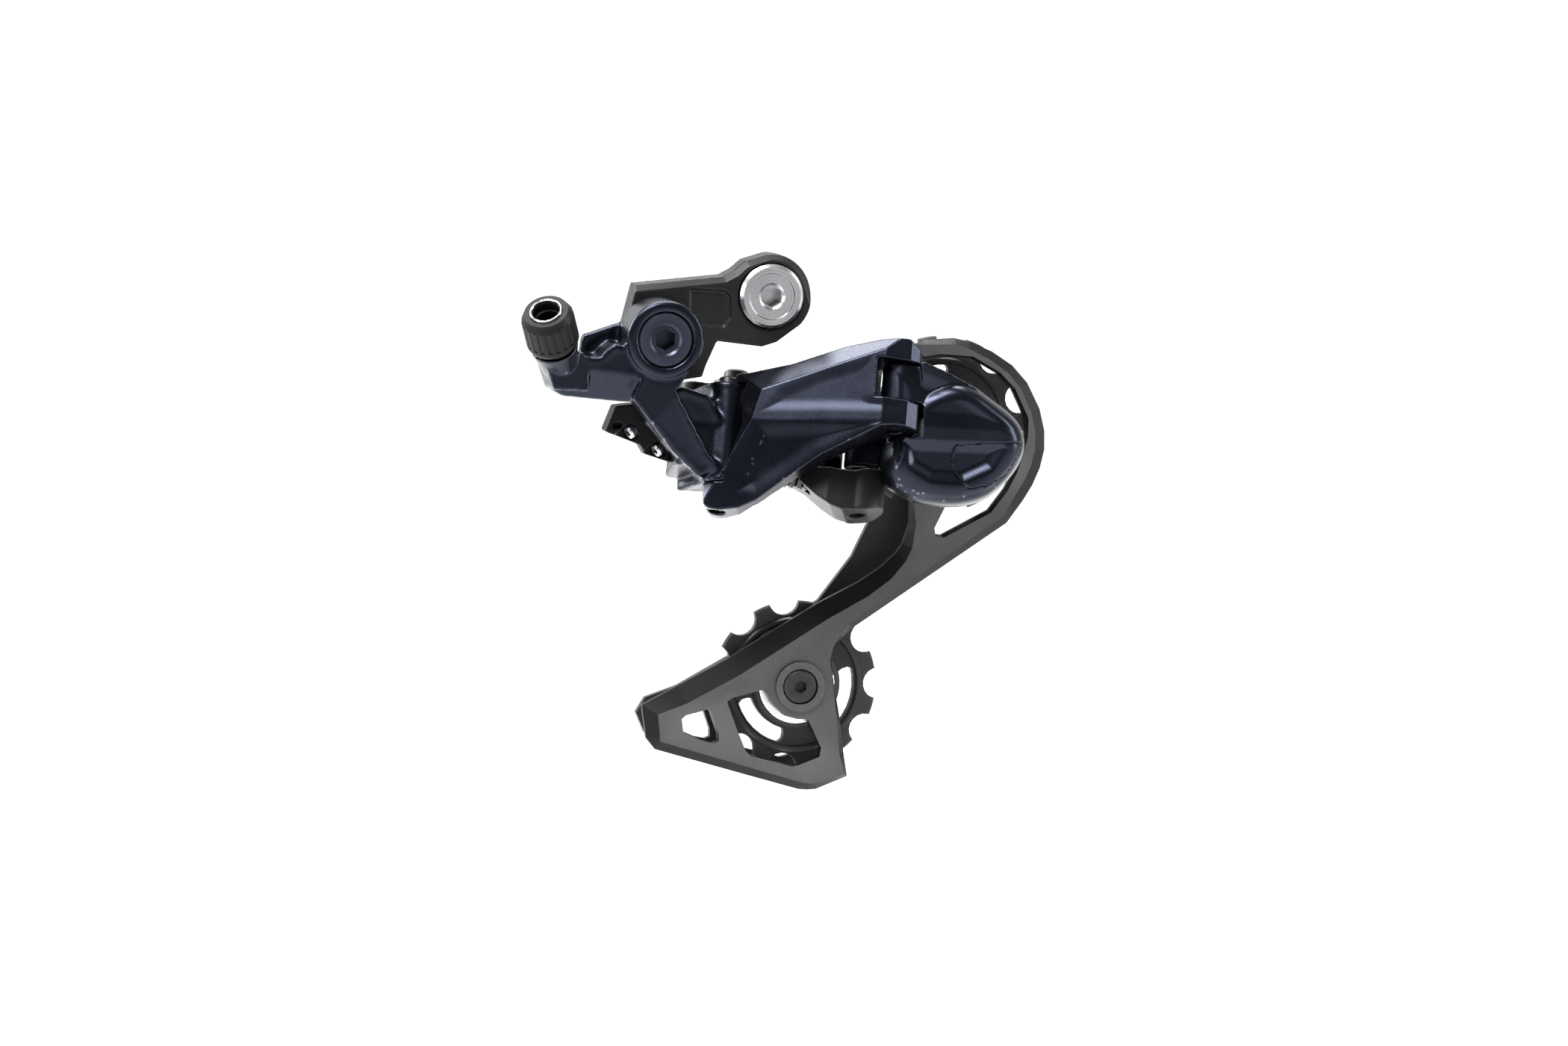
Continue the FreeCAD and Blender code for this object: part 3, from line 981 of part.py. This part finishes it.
def make_pulley_sets():
    g = -pulley_gap
    make_pulley("guide_pulley", guide_tip, 0, 0, 14.3, 8.9)
    make_pulley("tension_pulley", tension_tip, 0, g, -3.5, 19.2)
    half = cage_inside / 2 - 0.02
    for name, z in (("guide", 0), ("tension", g)):
        x0, y0, z0 = at_cage(0, z)
        base = (x0, pulley_mid, z0)
        turned(name + "_bearing", [(bush_r + run, -2.5), (6.08, -2.5), (6.08, 2.5),
                                   (bush_r + run, 2.5)], base, OUT)
        turned(name + "_bush", [(pulley_bolt_r + 0.06, -half), (bush_r, -half), (bush_r, half),
                                (pulley_bolt_r + 0.06, half)], base, OUT)
        caps = []
        for sign in (-1, 1):
            inner = 2.95 * sign
            outer = (num(half) - 0.02) * sign
            low, high = min(inner, outer), max(inner, outer)
            cap = Part.makeCylinder(10.2, high - low, FreeCAD.Vector(0, 0, low))
            cap = cap.cut(Part.makeCylinder(num(bush_r) + 0.03, 9, FreeCAD.Vector(0, 0, -4.5)))
            caps.append(soften(cap, 0.3, lambda e: abs(abs(e.CenterOfMass.z) - abs(num(half) - 0.02))
                               < 1e-3 and e.BoundBox.XLength > 15))
        both = Part.makeCompound(caps)
        both.Placement = FreeCAD.Placement(vec(*base), OUT)
        solid_part(name + "_dust_caps", both)
    # guide bolt: driven from the wheel side, threaded into the outer plate
    x0, y0, z0 = at_cage(0, 0)
    inboard = turn((1, 0, 0), -90)
    face = inner_y1 + 1.9
    turned("guide_bolt", [(0, outer_y0 + 0.7), (pulley_bolt_r - 0.4, outer_y0 + 0.7),
                          (pulley_bolt_r, outer_y0 + 1.1), (pulley_bolt_r, inner_y1 + 0.01),
                          (4.6, inner_y1 + 0.01), (4.6, face - 0.6), (4.1, face), (0, face)],
           (x0, 0, z0), inboard, (3.0, face, 1.7))
    x0, y0, z0 = at_cage(0, g)
    seat = -(outer_y0 + 1.0)
    face = seat + 1.9
    turned("tension_bolt", [(0, -inner_y1), (pulley_bolt_r - 0.3, -inner_y1),
                            (pulley_bolt_r, -inner_y1 + 0.3), (pulley_bolt_r, seat),
                            (4.4, seat), (4.4, face - 0.5), (3.9, face), (0, face)],
           (x0, 0, z0), OUT, (3.0, face, 1.6))


# ---------------------------------------------------------------- build and write
make_bracket()
b_knuckle_solid = make_b_knuckle()
make_link_pins()
make_adjusters(b_knuckle_solid)
make_barrel()
make_outer_link()
make_inner_link()
make_return_spring()
make_p_knuckle()
make_cage()
make_pulley_sets()
DOC.recompute()

faults = []
for item in DOC.Objects:
    if "Invalid" in item.State or "Error" in item.State:
        faults.append(item.Name + " " + str(item.State))
for name, obj in PARTS:
    shape = obj.Shape
    if shape.isNull() or not shape.isValid() or shape.Volume < 0.01:
        faults.append(name + " has no sound solid")
if faults:
    raise ValueError("; ".join(faults))
os.makedirs("parts", exist_ok=True)
for name, obj in PARTS:
    obj.Shape.exportStep("parts/" + name + ".step")
    box = obj.Shape.BoundBox
    print("%-20s %8.1f mm3  solids %d  X %.1f %.1f  Y %.1f %.1f  Z %.1f %.1f" % (
        name, obj.Shape.Volume, len(obj.Shape.Solids),
        box.XMin, box.XMax, box.YMin, box.YMax, box.ZMin, box.ZMax))
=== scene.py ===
import json
import math

import bmesh
import bpy
import numpy as np
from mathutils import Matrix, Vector


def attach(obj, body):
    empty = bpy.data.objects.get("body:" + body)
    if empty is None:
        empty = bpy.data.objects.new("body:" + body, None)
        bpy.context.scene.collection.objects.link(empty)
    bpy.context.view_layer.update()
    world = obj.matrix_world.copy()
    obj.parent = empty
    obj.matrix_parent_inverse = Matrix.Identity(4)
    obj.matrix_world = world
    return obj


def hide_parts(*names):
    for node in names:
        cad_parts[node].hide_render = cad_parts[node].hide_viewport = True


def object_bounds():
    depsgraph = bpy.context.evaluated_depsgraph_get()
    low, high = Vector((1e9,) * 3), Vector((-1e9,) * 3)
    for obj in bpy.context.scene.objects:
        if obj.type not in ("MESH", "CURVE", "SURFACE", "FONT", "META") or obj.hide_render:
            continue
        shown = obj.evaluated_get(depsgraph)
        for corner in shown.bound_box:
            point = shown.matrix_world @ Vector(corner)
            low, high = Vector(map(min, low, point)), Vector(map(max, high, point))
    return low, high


# Looks of a rear bicycle derailleur. The cast and forged parts are remeshed from the CAD solids and
# sculpted: their edges are rounded and their facets hollowed. Everything else keeps its CAD mesh.

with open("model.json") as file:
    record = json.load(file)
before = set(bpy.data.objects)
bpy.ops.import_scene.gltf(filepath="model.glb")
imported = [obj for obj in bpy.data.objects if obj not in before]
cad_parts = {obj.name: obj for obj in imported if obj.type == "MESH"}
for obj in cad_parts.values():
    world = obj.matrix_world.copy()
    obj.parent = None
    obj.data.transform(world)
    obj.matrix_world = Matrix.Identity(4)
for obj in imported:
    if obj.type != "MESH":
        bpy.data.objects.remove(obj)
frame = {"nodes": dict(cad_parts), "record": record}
cad_low, cad_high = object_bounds()
RECORD = frame["record"]
NODES = frame["nodes"]
BODY_OF = {n: b for b, members in RECORD["behaviour"]["bodies"].items() for n in members}
JOINTS = {j["name"]: j for j in RECORD["behaviour"]["joints"]}
SLOT_OF = {row["node"]: row["material_slot"] for row in RECORD["subparts"]}
MM = 0.001

# ---------------------------------------------------------------- camera
AZIMUTH = math.radians(-13.0)
ELEVATION = math.radians(6.0)
FIELD = 0.4086
AIM = Vector((0.0016, -0.0162, -0.0587))
LENS = 250.0

camera_data = bpy.data.cameras.new("camera")
camera_data.lens = LENS
camera_data.sensor_width = 36.0
camera = bpy.data.objects.new("camera", camera_data)
bpy.context.scene.collection.objects.link(camera)
toward = Vector((math.sin(AZIMUTH) * math.cos(ELEVATION),
                 -math.cos(AZIMUTH) * math.cos(ELEVATION), math.sin(ELEVATION)))
camera.location = AIM + toward * (FIELD * LENS / camera_data.sensor_width)
camera.rotation_mode = "QUATERNION"
camera.rotation_quaternion = (-toward).to_track_quat("-Z", "Y")
bpy.context.scene.camera = camera


# ---------------------------------------------------------------- joint frames (mm in, metres out)
class Place:
    """A right-handed frame: origin in metres, local coordinates in millimetres."""

    def __init__(self, origin, x_axis, z_axis):
        self.origin = np.array(origin, float)
        z = np.array(z_axis, float)
        self.z = z / np.linalg.norm(z)
        x = np.array(x_axis, float)
        x = x - self.z * x.dot(self.z)
        self.x = x / np.linalg.norm(x)
        self.y = np.cross(self.z, self.x)

    def inside(self, points):
        """World metres to local millimetres."""
        rel = (np.asarray(points, float) - self.origin) / MM
        return np.stack([rel @ self.x, rel @ self.y, rel @ self.z], axis=-1)


def joint_at(name):
    return np.array(JOINTS[name]["pos_m"], float)


B_PIN = joint_at("link_swing")
P_PIN = joint_at("knuckle_parallel")
LINK = Place(B_PIN, P_PIN - B_PIN, JOINTS["link_swing"]["axis"])
TENSION = joint_at("tension_spin")
P_AXLE = joint_at("cage_swing")
B_AXLE = joint_at("b_pivot")
WORLD = Place((0, 0, 0), (1, 0, 0), (0, 0, 1))


# ---------------------------------------------------------------- materials
MOTTLE_SCALE = 60.0             # colour clouds, per metre
TURNING_SCALE = 2400.0          # turning marks, per metre of radius
BUMP_DEPTH = 0.0001             # metres
EDGE_HIGHLIGHT_BAND = (0.535, 0.62)       # pointiness where the painted edge highlight begins, and where it is full
FLAT_FACE = (0.93, 0.985)       # cosine to the front where a wall ends, and a flat face begins
SPECKS_PER_GRAIN = 3.0
SPECK_BAND = (0.62, 0.72)       # noise above this is a metal flake
SPECK_STRENGTH = 0.55
GLOSS_DRIFT = 0.03              # roughness gained or lost with the colour clouds


class Nodes:
    """Small helper for building a node tree from left to right."""

    def __init__(self, name):
        self.material = bpy.data.materials.new(name)
        self.material.use_nodes = True
        self.tree = self.material.node_tree
        self.shader = self.tree.nodes["Principled BSDF"]
        self.coords = self.add("ShaderNodeTexCoord").outputs["Object"]

    def add(self, kind, **settings):
        node = self.tree.nodes.new(kind)
        for key, value in settings.items():
            setattr(node, key, value)
        return node

    def link(self, source, target):
        self.tree.links.new(source, target)

    def noise(self, scale, detail, rough):
        node = self.add("ShaderNodeTexNoise")
        node.inputs["Scale"].default_value = scale
        node.inputs["Detail"].default_value = detail
        node.inputs["Roughness"].default_value = rough
        self.link(self.coords, node.inputs["Vector"])
        return node.outputs["Fac"]

    def span(self, source, low, high, to_low=0.0, to_high=1.0):
        """The source's band from low to high, stretched to another band."""
        node = self.add("ShaderNodeMapRange")
        for key, value in (("From Min", low), ("From Max", high),
                           ("To Min", to_low), ("To Max", to_high)):
            node.inputs[key].default_value = value
        self.link(source, node.inputs["Value"])
        return node.outputs["Result"]

    def mix(self, factor, a, b):
        """Blend of two colours, each a colour or a socket; the factor is a socket."""
        node = self.add("ShaderNodeMix", data_type="RGBA")
        self.link(factor, node.inputs[0])
        colour_sockets = [s for s in node.inputs if s.type == "RGBA"]
        for socket, value in zip(colour_sockets, (a, b)):
            if isinstance(value, bpy.types.NodeSocket):
                self.link(value, socket)
            else:
                socket.default_value = (*value, 1.0)
        return next(s for s in node.outputs if s.type == "RGBA")

    def edges(self):
        """White along sharp outer edges, from the surface's own curvature: the mask of a painted
        highlight.
        """
        geometry = self.add("ShaderNodeNewGeometry")
        return self.span(geometry.outputs["Pointiness"], *EDGE_HIGHLIGHT_BAND)

    def rings(self, centre):
        """Fine turning marks: rings round an axis along y through the centre (metres)."""
        shift = self.add("ShaderNodeVectorMath", operation="SUBTRACT")
        self.link(self.coords, shift.inputs[0])
        shift.inputs[1].default_value = centre
        flat = self.add("ShaderNodeVectorMath", operation="MULTIPLY")
        self.link(shift.outputs["Vector"], flat.inputs[0])
        flat.inputs[1].default_value = (1.0, 0.0, 1.0)
        radius = self.add("ShaderNodeVectorMath", operation="LENGTH")
        self.link(flat.outputs["Vector"], radius.inputs[0])
        node = self.add("ShaderNodeTexNoise", noise_dimensions="1D")
        node.inputs["Scale"].default_value = TURNING_SCALE
        node.inputs["Detail"].default_value = 3.0
        self.link(radius.outputs["Value"], node.inputs["W"])
        return node.outputs["Fac"]

    def on_face(self):
        """White on the flat front faces, black where the surface turns away to a wall or bevel."""
        normal = self.add("ShaderNodeTexCoord").outputs["Normal"]
        dot = self.add("ShaderNodeVectorMath", operation="DOT_PRODUCT")
        self.link(normal, dot.inputs[0])
        dot.inputs[1].default_value = (0.0, -1.0, 0.0)
        return self.span(dot.outputs["Value"], *FLAT_FACE)

    def bump(self, height, strength):
        node = self.add("ShaderNodeBump")
        node.inputs["Strength"].default_value = strength
        node.inputs["Distance"].default_value = BUMP_DEPTH
        self.link(height, node.inputs["Height"])
        self.link(node.outputs["Normal"], self.shader.inputs["Normal"])


def metal(name, dark, light, metallic, rough, grain=900.0, bump=0.05, coat=0.0, coat_rough=0.1,
          edge_highlight=None, speck=None, specular=0.5, turned_about=None, walls=None):
    """Metal, paint or plastic with mottled colour, uneven gloss, fine grain and a painted highlight
    along sharp edges.
    """
    n = Nodes(name)
    cloud = n.noise(MOTTLE_SCALE, 4.0, 0.6)
    fine = n.noise(grain, 2.0, 0.5)
    colour = n.mix(n.span(cloud, 0.35, 0.65), dark, light)
    if speck:
        dots = n.noise(grain * SPECKS_PER_GRAIN, 1.0, 0.5)
        colour = n.mix(n.span(dots, *SPECK_BAND, 0.0, SPECK_STRENGTH), colour, speck)
    # a lighter colour on sharp edges, found from curvature: a painted highlight
    if edge_highlight:
        colour = n.mix(n.edges(), colour, edge_highlight)
    if walls:
        colour = n.mix(n.on_face(), walls, colour)
    n.link(colour, n.shader.inputs["Base Color"])
    relief = n.rings(turned_about) if turned_about is not None else fine
    mixed = n.add("ShaderNodeMath", operation="ADD")
    n.link(n.span(relief, 0.3, 0.7, rough[0], rough[1]), mixed.inputs[0])
    n.link(n.span(cloud, 0.3, 0.7, -GLOSS_DRIFT, GLOSS_DRIFT), mixed.inputs[1])
    n.link(mixed.outputs[0], n.shader.inputs["Roughness"])
    n.bump(relief, bump)
    for socket, value in (("Metallic", metallic), ("Coat Weight", coat),
                          ("Coat Roughness", coat_rough), ("Specular IOR Level", specular)):
        n.shader.inputs[socket].default_value = value
    return n.material


# The edge colours given to the materials below are painted highlights on sharp edges.
MATERIALS = {
    "painted_body": metal("painted_body", (0.0095, 0.0110, 0.0175), (0.0130, 0.0150, 0.0230), 0.94,
                          (0.26, 0.34), grain=2600.0, bump=0.015, coat=0.06, coat_rough=0.25,
                          edge_highlight=(0.070, 0.076, 0.098), speck=(0.028, 0.031, 0.044), specular=0.3),
    "black_alloy": metal("black_alloy", (0.0055, 0.0055, 0.0060), (0.0090, 0.0090, 0.0095), 0.40,
                         (0.36, 0.46), grain=1800.0, bump=0.05, edge_highlight=(0.022, 0.022, 0.023),
                         specular=0.22),
    "plate_grey": metal("plate_grey", (0.050, 0.050, 0.052), (0.064, 0.064, 0.066), 0.70,
                        (0.44, 0.56), grain=1500.0, bump=0.12, edge_highlight=(0.085, 0.085, 0.09),
                        speck=(0.12, 0.12, 0.12), walls=(0.0075, 0.0075, 0.008), specular=0.2),
    "plate_black": metal("plate_black", (0.0050, 0.0050, 0.0055), (0.0085, 0.0085, 0.0090), 0.4,
                         (0.40, 0.52), grain=1500.0, bump=0.08, edge_highlight=(0.020, 0.020, 0.021),
                         specular=0.2),
    "machined_silver": metal("machined_silver", (0.33, 0.33, 0.34), (0.39, 0.39, 0.40), 1.0,
                             (0.20, 0.32), bump=0.08, edge_highlight=(0.55, 0.55, 0.56),
                             turned_about=(0.0, 0.0, 0.0)),
    "dark_bolt": metal("dark_bolt", (0.018, 0.020, 0.031), (0.024, 0.027, 0.040), 0.90,
                       (0.32, 0.42), bump=0.05, coat=0.08, coat_rough=0.2,
                       edge_highlight=(0.050, 0.056, 0.078), turned_about=tuple(B_AXLE), specular=0.3),
    "black_steel": metal("black_steel", (0.022, 0.022, 0.023), (0.030, 0.030, 0.031), 0.7,
                         (0.38, 0.50), bump=0.05, edge_highlight=(0.05, 0.05, 0.052),
                         turned_about=tuple(TENSION), specular=0.25),
    "steel": metal("steel", (0.060, 0.060, 0.063), (0.085, 0.085, 0.088), 1.0, (0.28, 0.40),
                   grain=900.0, bump=0.05),
    "bright_screw": metal("bright_screw", (0.22, 0.22, 0.23), (0.30, 0.30, 0.31), 1.0,
                          (0.24, 0.36), grain=900.0, bump=0.05),
    "spring_steel": metal("spring_steel", (0.020, 0.020, 0.021), (0.030, 0.030, 0.031), 0.9,
                          (0.28, 0.38), grain=1200.0, bump=0.04, edge_highlight=(0.045, 0.045, 0.047)),
    "pulley_plastic": metal("pulley_plastic", (0.010, 0.010, 0.0105), (0.015, 0.015, 0.0155), 0.0,
                            (0.46, 0.60), grain=1400.0, bump=0.10, edge_highlight=(0.026, 0.026, 0.027),
                            specular=0.22),
    "black_plastic": metal("black_plastic", (0.0030, 0.0030, 0.0034), (0.0050, 0.0050, 0.0054), 0.0,
                           (0.40, 0.52), grain=1400.0, bump=0.06, edge_highlight=(0.012, 0.012, 0.013),
                           specular=0.08),
    "liner_metal": metal("liner_metal", (0.62, 0.62, 0.64), (0.74, 0.74, 0.76), 1.0,
                         (0.16, 0.26), grain=900.0, bump=0.03),
    "seal_rubber": metal("seal_rubber", (0.006, 0.006, 0.006), (0.010, 0.010, 0.010), 0.0,
                         (0.55, 0.70), grain=900.0, bump=0.08, specular=0.2),
    "bush_metal": metal("bush_metal", (0.30, 0.24, 0.13), (0.40, 0.32, 0.18), 1.0,
                        (0.30, 0.42), grain=900.0, bump=0.05),
}
# The dust caps are bright, though their slot is shared with darker pieces.
CAP_SILVER = metal("cap_silver", (0.62, 0.62, 0.63), (0.74, 0.74, 0.75), 1.0, (0.18, 0.28),
                   bump=0.04, turned_about=tuple(TENSION))
for node, part in NODES.items():
    part.data.materials.clear()
    part.data.materials.append(CAP_SILVER if node.endswith("dust_caps")
                               else MATERIALS[SLOT_OF[node]])


# ---------------------------------------------------------------- sculpting tools
SHRINK, REGROW = 0.60, -0.62    # shares of a relaxing step: in, and back out
FRONT_FACING = -0.25            # a normal below this along the frame's y looks to the front
WELD = 2e-6                     # metres


def grid_of(mesh):
    """Vertices (metres) and edges of a mesh as arrays."""
    co = np.empty(len(mesh.vertices) * 3, np.float32)
    mesh.vertices.foreach_get("co", co)
    edges = np.empty(len(mesh.edges) * 2, np.int32)
    mesh.edges.foreach_get("vertices", edges)
    return co.reshape(-1, 3).astype(float), edges.reshape(-1, 2)


def normals_of(mesh):
    out = np.empty(len(mesh.vertices) * 3, np.float32)
    mesh.vertex_normals.foreach_get("vector", out)
    return out.reshape(-1, 3).astype(float)


def put_back(mesh, co):
    mesh.vertices.foreach_set("co", co.astype(np.float32).ravel())
    mesh.update()


def relax(co, edges, rounds, weight=None):
    """Round off edges without shrinking the part: each round steps in and then back out."""
    count = len(co)
    a, b = edges[:, 0], edges[:, 1]
    degree = np.bincount(a, minlength=count) + np.bincount(b, minlength=count)
    degree = np.maximum(degree, 1)
    share = np.ones(count) if weight is None else weight
    for _ in range(rounds):
        for factor in (SHRINK, REGROW):
            mean = np.empty_like(co)
            for axis in range(3):
                mean[:, axis] = (np.bincount(a, co[b, axis], count)
                                 + np.bincount(b, co[a, axis], count)) / degree
            co = co + (mean - co) * (factor * share)[:, None]
    return co


def inside_ring(points, ring):
    """Which of the points (x, z) lie inside a closed outline."""
    x, z = points[:, 0], points[:, 1]
    result = np.zeros(len(points), bool)
    for (ax, az), (bx, bz) in zip(ring, ring[1:] + ring[:1]):
        crosses = (az > z) != (bz > z)
        if az != bz:
            result ^= crosses & (x < (bx - ax) * (z - az) / (bz - az) + ax)
    return result


def distance_to_ring(points, ring):
    best = np.full(len(points), 1e9)
    for a, b in zip(ring, ring[1:] + ring[:1]):
        a, b = np.array(a, float), np.array(b, float)
        span = b - a
        t = np.clip(((points - a) @ span) / span.dot(span), 0, 1)
        best = np.minimum(best, np.linalg.norm(points - (a + t[:, None] * span), axis=1))
    return best


def ease(t):
    """0 to 1 with level ends."""
    return t * t * (3 - 2 * t)


def dish(co, facing, place, ring, depth, reach):
    """Hollow a facet seen along the frame's y: deepest `reach` mm inside its outline."""
    local = place.inside(co)
    flat = local[:, [0, 2]]
    front = facing @ place.y < FRONT_FACING
    chosen = np.where(front & inside_ring(flat, ring))[0]
    if len(chosen) == 0:
        return co
    away = distance_to_ring(flat[chosen], ring)
    amount = depth * ease(np.clip(away / reach, 0, 1))
    co[chosen] += (amount * MM)[:, None] * place.y
    return co


def free_of_bores(co, bores, fade=1.6):
    """Relaxing weights: 0 near each bore (point, axis, radius in mm), 1 away from them."""
    weight = np.ones(len(co))
    for point, axis, radius in bores:
        axis = np.array(axis, float) / np.linalg.norm(axis)
        rel = (co - np.array(point, float)) / MM
        away = np.linalg.norm(rel - (rel @ axis)[:, None] * axis, axis=1)
        weight = np.minimum(weight, ease(np.clip((away - radius) / fade, 0, 1)))
    return weight


def cast_copy(node, voxel, rounds, sculpt=None, thin=0.5, hold=None):
    """Rounded copy of a CAD part: an even fine mesh (voxel in mm), its edges relaxed, its facets
    sculpted, and then thinned to a share of its faces. hold(co) gives the relaxing weights."""
    mesh = NODES[node].data.copy()
    fresh = bmesh.new()
    fresh.from_mesh(mesh)
    bmesh.ops.remove_doubles(fresh, verts=fresh.verts, dist=WELD)
    fresh.to_mesh(mesh)
    fresh.free()
    piece = bpy.data.objects.new(node + "_cast", mesh)
    bpy.context.scene.collection.objects.link(piece)
    remesh = piece.modifiers.new("even", "REMESH")
    remesh.mode = "VOXEL"
    remesh.voxel_size = voxel * MM
    apply_modifiers(piece)
    co, edges = grid_of(piece.data)
    co = relax(co, edges, 2)
    co = relax(co, edges, rounds, hold(co) if hold else None)
    put_back(piece.data, co)
    if sculpt:
        co = sculpt(co, normals_of(piece.data))
        put_back(piece.data, relax(co, edges, 1))
    if thin < 1.0:
        collapse = piece.modifiers.new("thin", "DECIMATE")
        collapse.ratio = thin
        apply_modifiers(piece)
    finish_piece(piece, node)


def apply_modifiers(piece):
    graph = bpy.context.evaluated_depsgraph_get()
    baked = bpy.data.meshes.new_from_object(piece.evaluated_get(graph))
    piece.modifiers.clear()
    piece.data = baked


def finish_piece(piece, node):
    """Smooth shading, material, body and slot of the CAD part that the piece stands for."""
    for polygon in piece.data.polygons:
        polygon.use_smooth = True
    piece.data.materials.clear()
    piece.data.materials.append(MATERIALS[SLOT_OF[node]])
    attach(piece, BODY_OF[node])
    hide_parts(node)


# ---------------------------------------------------------------- the cast parts
def sculpt_outer_link(co, facing):
    lower_facet = [(4.0, -17.0), (9.3, 2.2), (26.4, 3.8), (47.0, 4.6), (42.0, 2.6), (27.0, -5.6),
                   (18.0, -12.4), (11.0, -17.6)]
    upper_face = [(9.5, 4.2), (14.0, 11.4), (25.3, 17.2), (39.0, 22.0), (39.6, 11.0),
                  (48.0, 10.0), (48.0, 6.0), (26.4, 5.2)]
    co = dish(co, facing, LINK, lower_facet, 0.9, 5.5)
    return dish(co, facing, LINK, upper_face, 0.25, 4.0)


def sculpt_p_knuckle(co, facing):
    teardrop = [(29.6, -35.6), (41.5, -36.6), (50.0, -37.0), (57.6, -37.6), (59.0, -39.3),
                (55.1, -45.2), (47.1, -48.6), (38.0, -48.0), (31.5, -44.0)]
    brow = [(29.0, -19.0), (37.0, -18.6), (44.0, -21.6), (50.0, -25.0), (57.5, -31.0),
            (61.5, -35.5), (50.0, -34.4), (40.0, -33.6), (30.0, -32.8)]
    lip = [(30.0, -49.0), (37.0, -50.2), (46.0, -50.6), (54.0, -48.4), (60.0, -43.0),
           (63.0, -41.0), (60.5, -46.5), (54.0, -52.0), (45.0, -54.0), (36.0, -53.4)]
    co = dish(co, facing, WORLD, teardrop, 1.5, 3.6)
    co = dish(co, facing, WORLD, brow, 0.7, 4.5)
    return dish(co, facing, WORLD, lip, 0.3, 1.8)


PIN_HOLD, B_AXLE_HOLD, P_AXLE_HOLD = 3.6, 8.2, 9.0     # mm round each axis that keep their shape
BOSS_FRONT, BOSS_FADE = 21.4, 1.2                      # mm in front of y = 0, and fading back
PIN_AXIS = JOINTS["link_swing"]["axis"]
PIN_BORES = [(JOINTS[name]["pos_m"], PIN_AXIS, PIN_HOLD)
             for name in ("link_swing", "knuckle_parallel", "inner_swing")]


def hold_pins(co):
    return free_of_bores(co, PIN_BORES)


def hold_b_knuckle(co):
    """The b axle's bore and the boss's front ring stay crisp; arm and leg flow into the boss."""
    weight = free_of_bores(co, PIN_BORES + [(B_AXLE, (0, 1, 0), B_AXLE_HOLD)])
    behind_ring = np.clip((co[:, 1] / MM + BOSS_FRONT) / BOSS_FADE, 0, 1)
    return np.minimum(weight, behind_ring)


def hold_p_knuckle(co):
    return free_of_bores(co, PIN_BORES + [(P_AXLE, (0, 1, 0), P_AXLE_HOLD)])


def make_castings():
    cast_copy("outer_link", 0.30, 4, sculpt_outer_link, thin=1.0)
    cast_copy("b_knuckle", 0.38, 220, hold=hold_b_knuckle, thin=1.0)
    cast_copy("p_knuckle", 0.32, 8, sculpt_p_knuckle, hold=hold_p_knuckle, thin=1.0)
    cast_copy("p_cap", 0.26, 2, sculpt_p_knuckle, thin=1.0)
    cast_copy("inner_link", 0.32, 4, hold=hold_pins)
    cast_copy("bracket_link", 0.30, 4)
    cast_copy("adjust_block", 0.25, 2)


make_castings()


# ---------------------------------------------------------------- floor and light
FLOOR_Z = cad_low.z - 0.20      # the object hangs free above the floor
WALL_HEIGHT = 7.0
CURVE_STEPS = 12


def make_floor():
    """Pale studio sweep: a floor that curves up into a wall far behind the object."""
    width, near, far, radius = 8.0, -6.0, 4.0, 1.5
    profile = [(near, FLOOR_Z), (far, FLOOR_Z)]
    for step in range(1, CURVE_STEPS + 1):
        a = math.radians(90.0 * step / CURVE_STEPS)
        profile.append((far + radius * math.sin(a), FLOOR_Z + radius * (1 - math.cos(a))))
    profile.append((far + radius, FLOOR_Z + WALL_HEIGHT))
    shape = bmesh.new()
    rows = [[shape.verts.new((x, y, z)) for x in (-width, width)] for y, z in profile]
    for low, high in zip(rows, rows[1:]):
        face = shape.faces.new((low[0], low[1], high[1], high[0]))
        face.smooth = True
    mesh = bpy.data.meshes.new("studio_floor")
    shape.to_mesh(mesh)
    shape.free()
    floor = bpy.data.objects.new("studio_floor", mesh)
    bpy.context.scene.collection.objects.link(floor)
    paint = bpy.data.materials.new("studio_floor")
    paint.use_nodes = True
    shader = paint.node_tree.nodes["Principled BSDF"]
    shader.inputs["Base Color"].default_value = (0.55, 0.55, 0.55, 1.0)
    shader.inputs["Roughness"].default_value = 0.9
    shader.inputs["Emission Color"].default_value = (1.0, 1.0, 1.0, 1.0)
    shader.inputs["Emission Strength"].default_value = 0.80
    mesh.materials.append(paint)


def softbox(name, offset, size, power):
    """Area light at an offset from the point the camera aims at, turned towards it."""
    data = bpy.data.lights.new(name, "AREA")
    data.shape = "RECTANGLE"
    data.size, data.size_y = size
    data.energy = power
    lamp = bpy.data.objects.new(name, data)
    bpy.context.scene.collection.objects.link(lamp)
    lamp.location = AIM + Vector(offset)
    lamp.rotation_mode = "QUATERNION"
    lamp.rotation_quaternion = (-Vector(offset)).to_track_quat("-Z", "Y")
    lamp.visible_camera = False


def make_light():
    world = bpy.data.worlds.new("studio")
    world.use_nodes = True
    background = world.node_tree.nodes["Background"]
    background.inputs["Color"].default_value = (0.95, 0.97, 1.0, 1.0)
    background.inputs["Strength"].default_value = 0.24
    bpy.context.scene.world = world
    softbox("key_top", (-0.35, -0.45, 1.0), (0.8, 0.28), 44.0)
    softbox("strip_right", (0.95, -0.25, 0.25), (0.14, 0.8), 12.0)
    softbox("strip_left", (-0.95, -0.40, 0.15), (0.12, 0.7), 5.0)
    softbox("rim_left", (-0.80, 0.50, 0.50), (0.35, 0.6), 26.0)
    softbox("rim_top", (0.10, 0.45, 1.05), (0.9, 0.30), 30.0)
    bpy.context.scene.view_settings.view_transform = "Standard"


make_floor()
make_light()
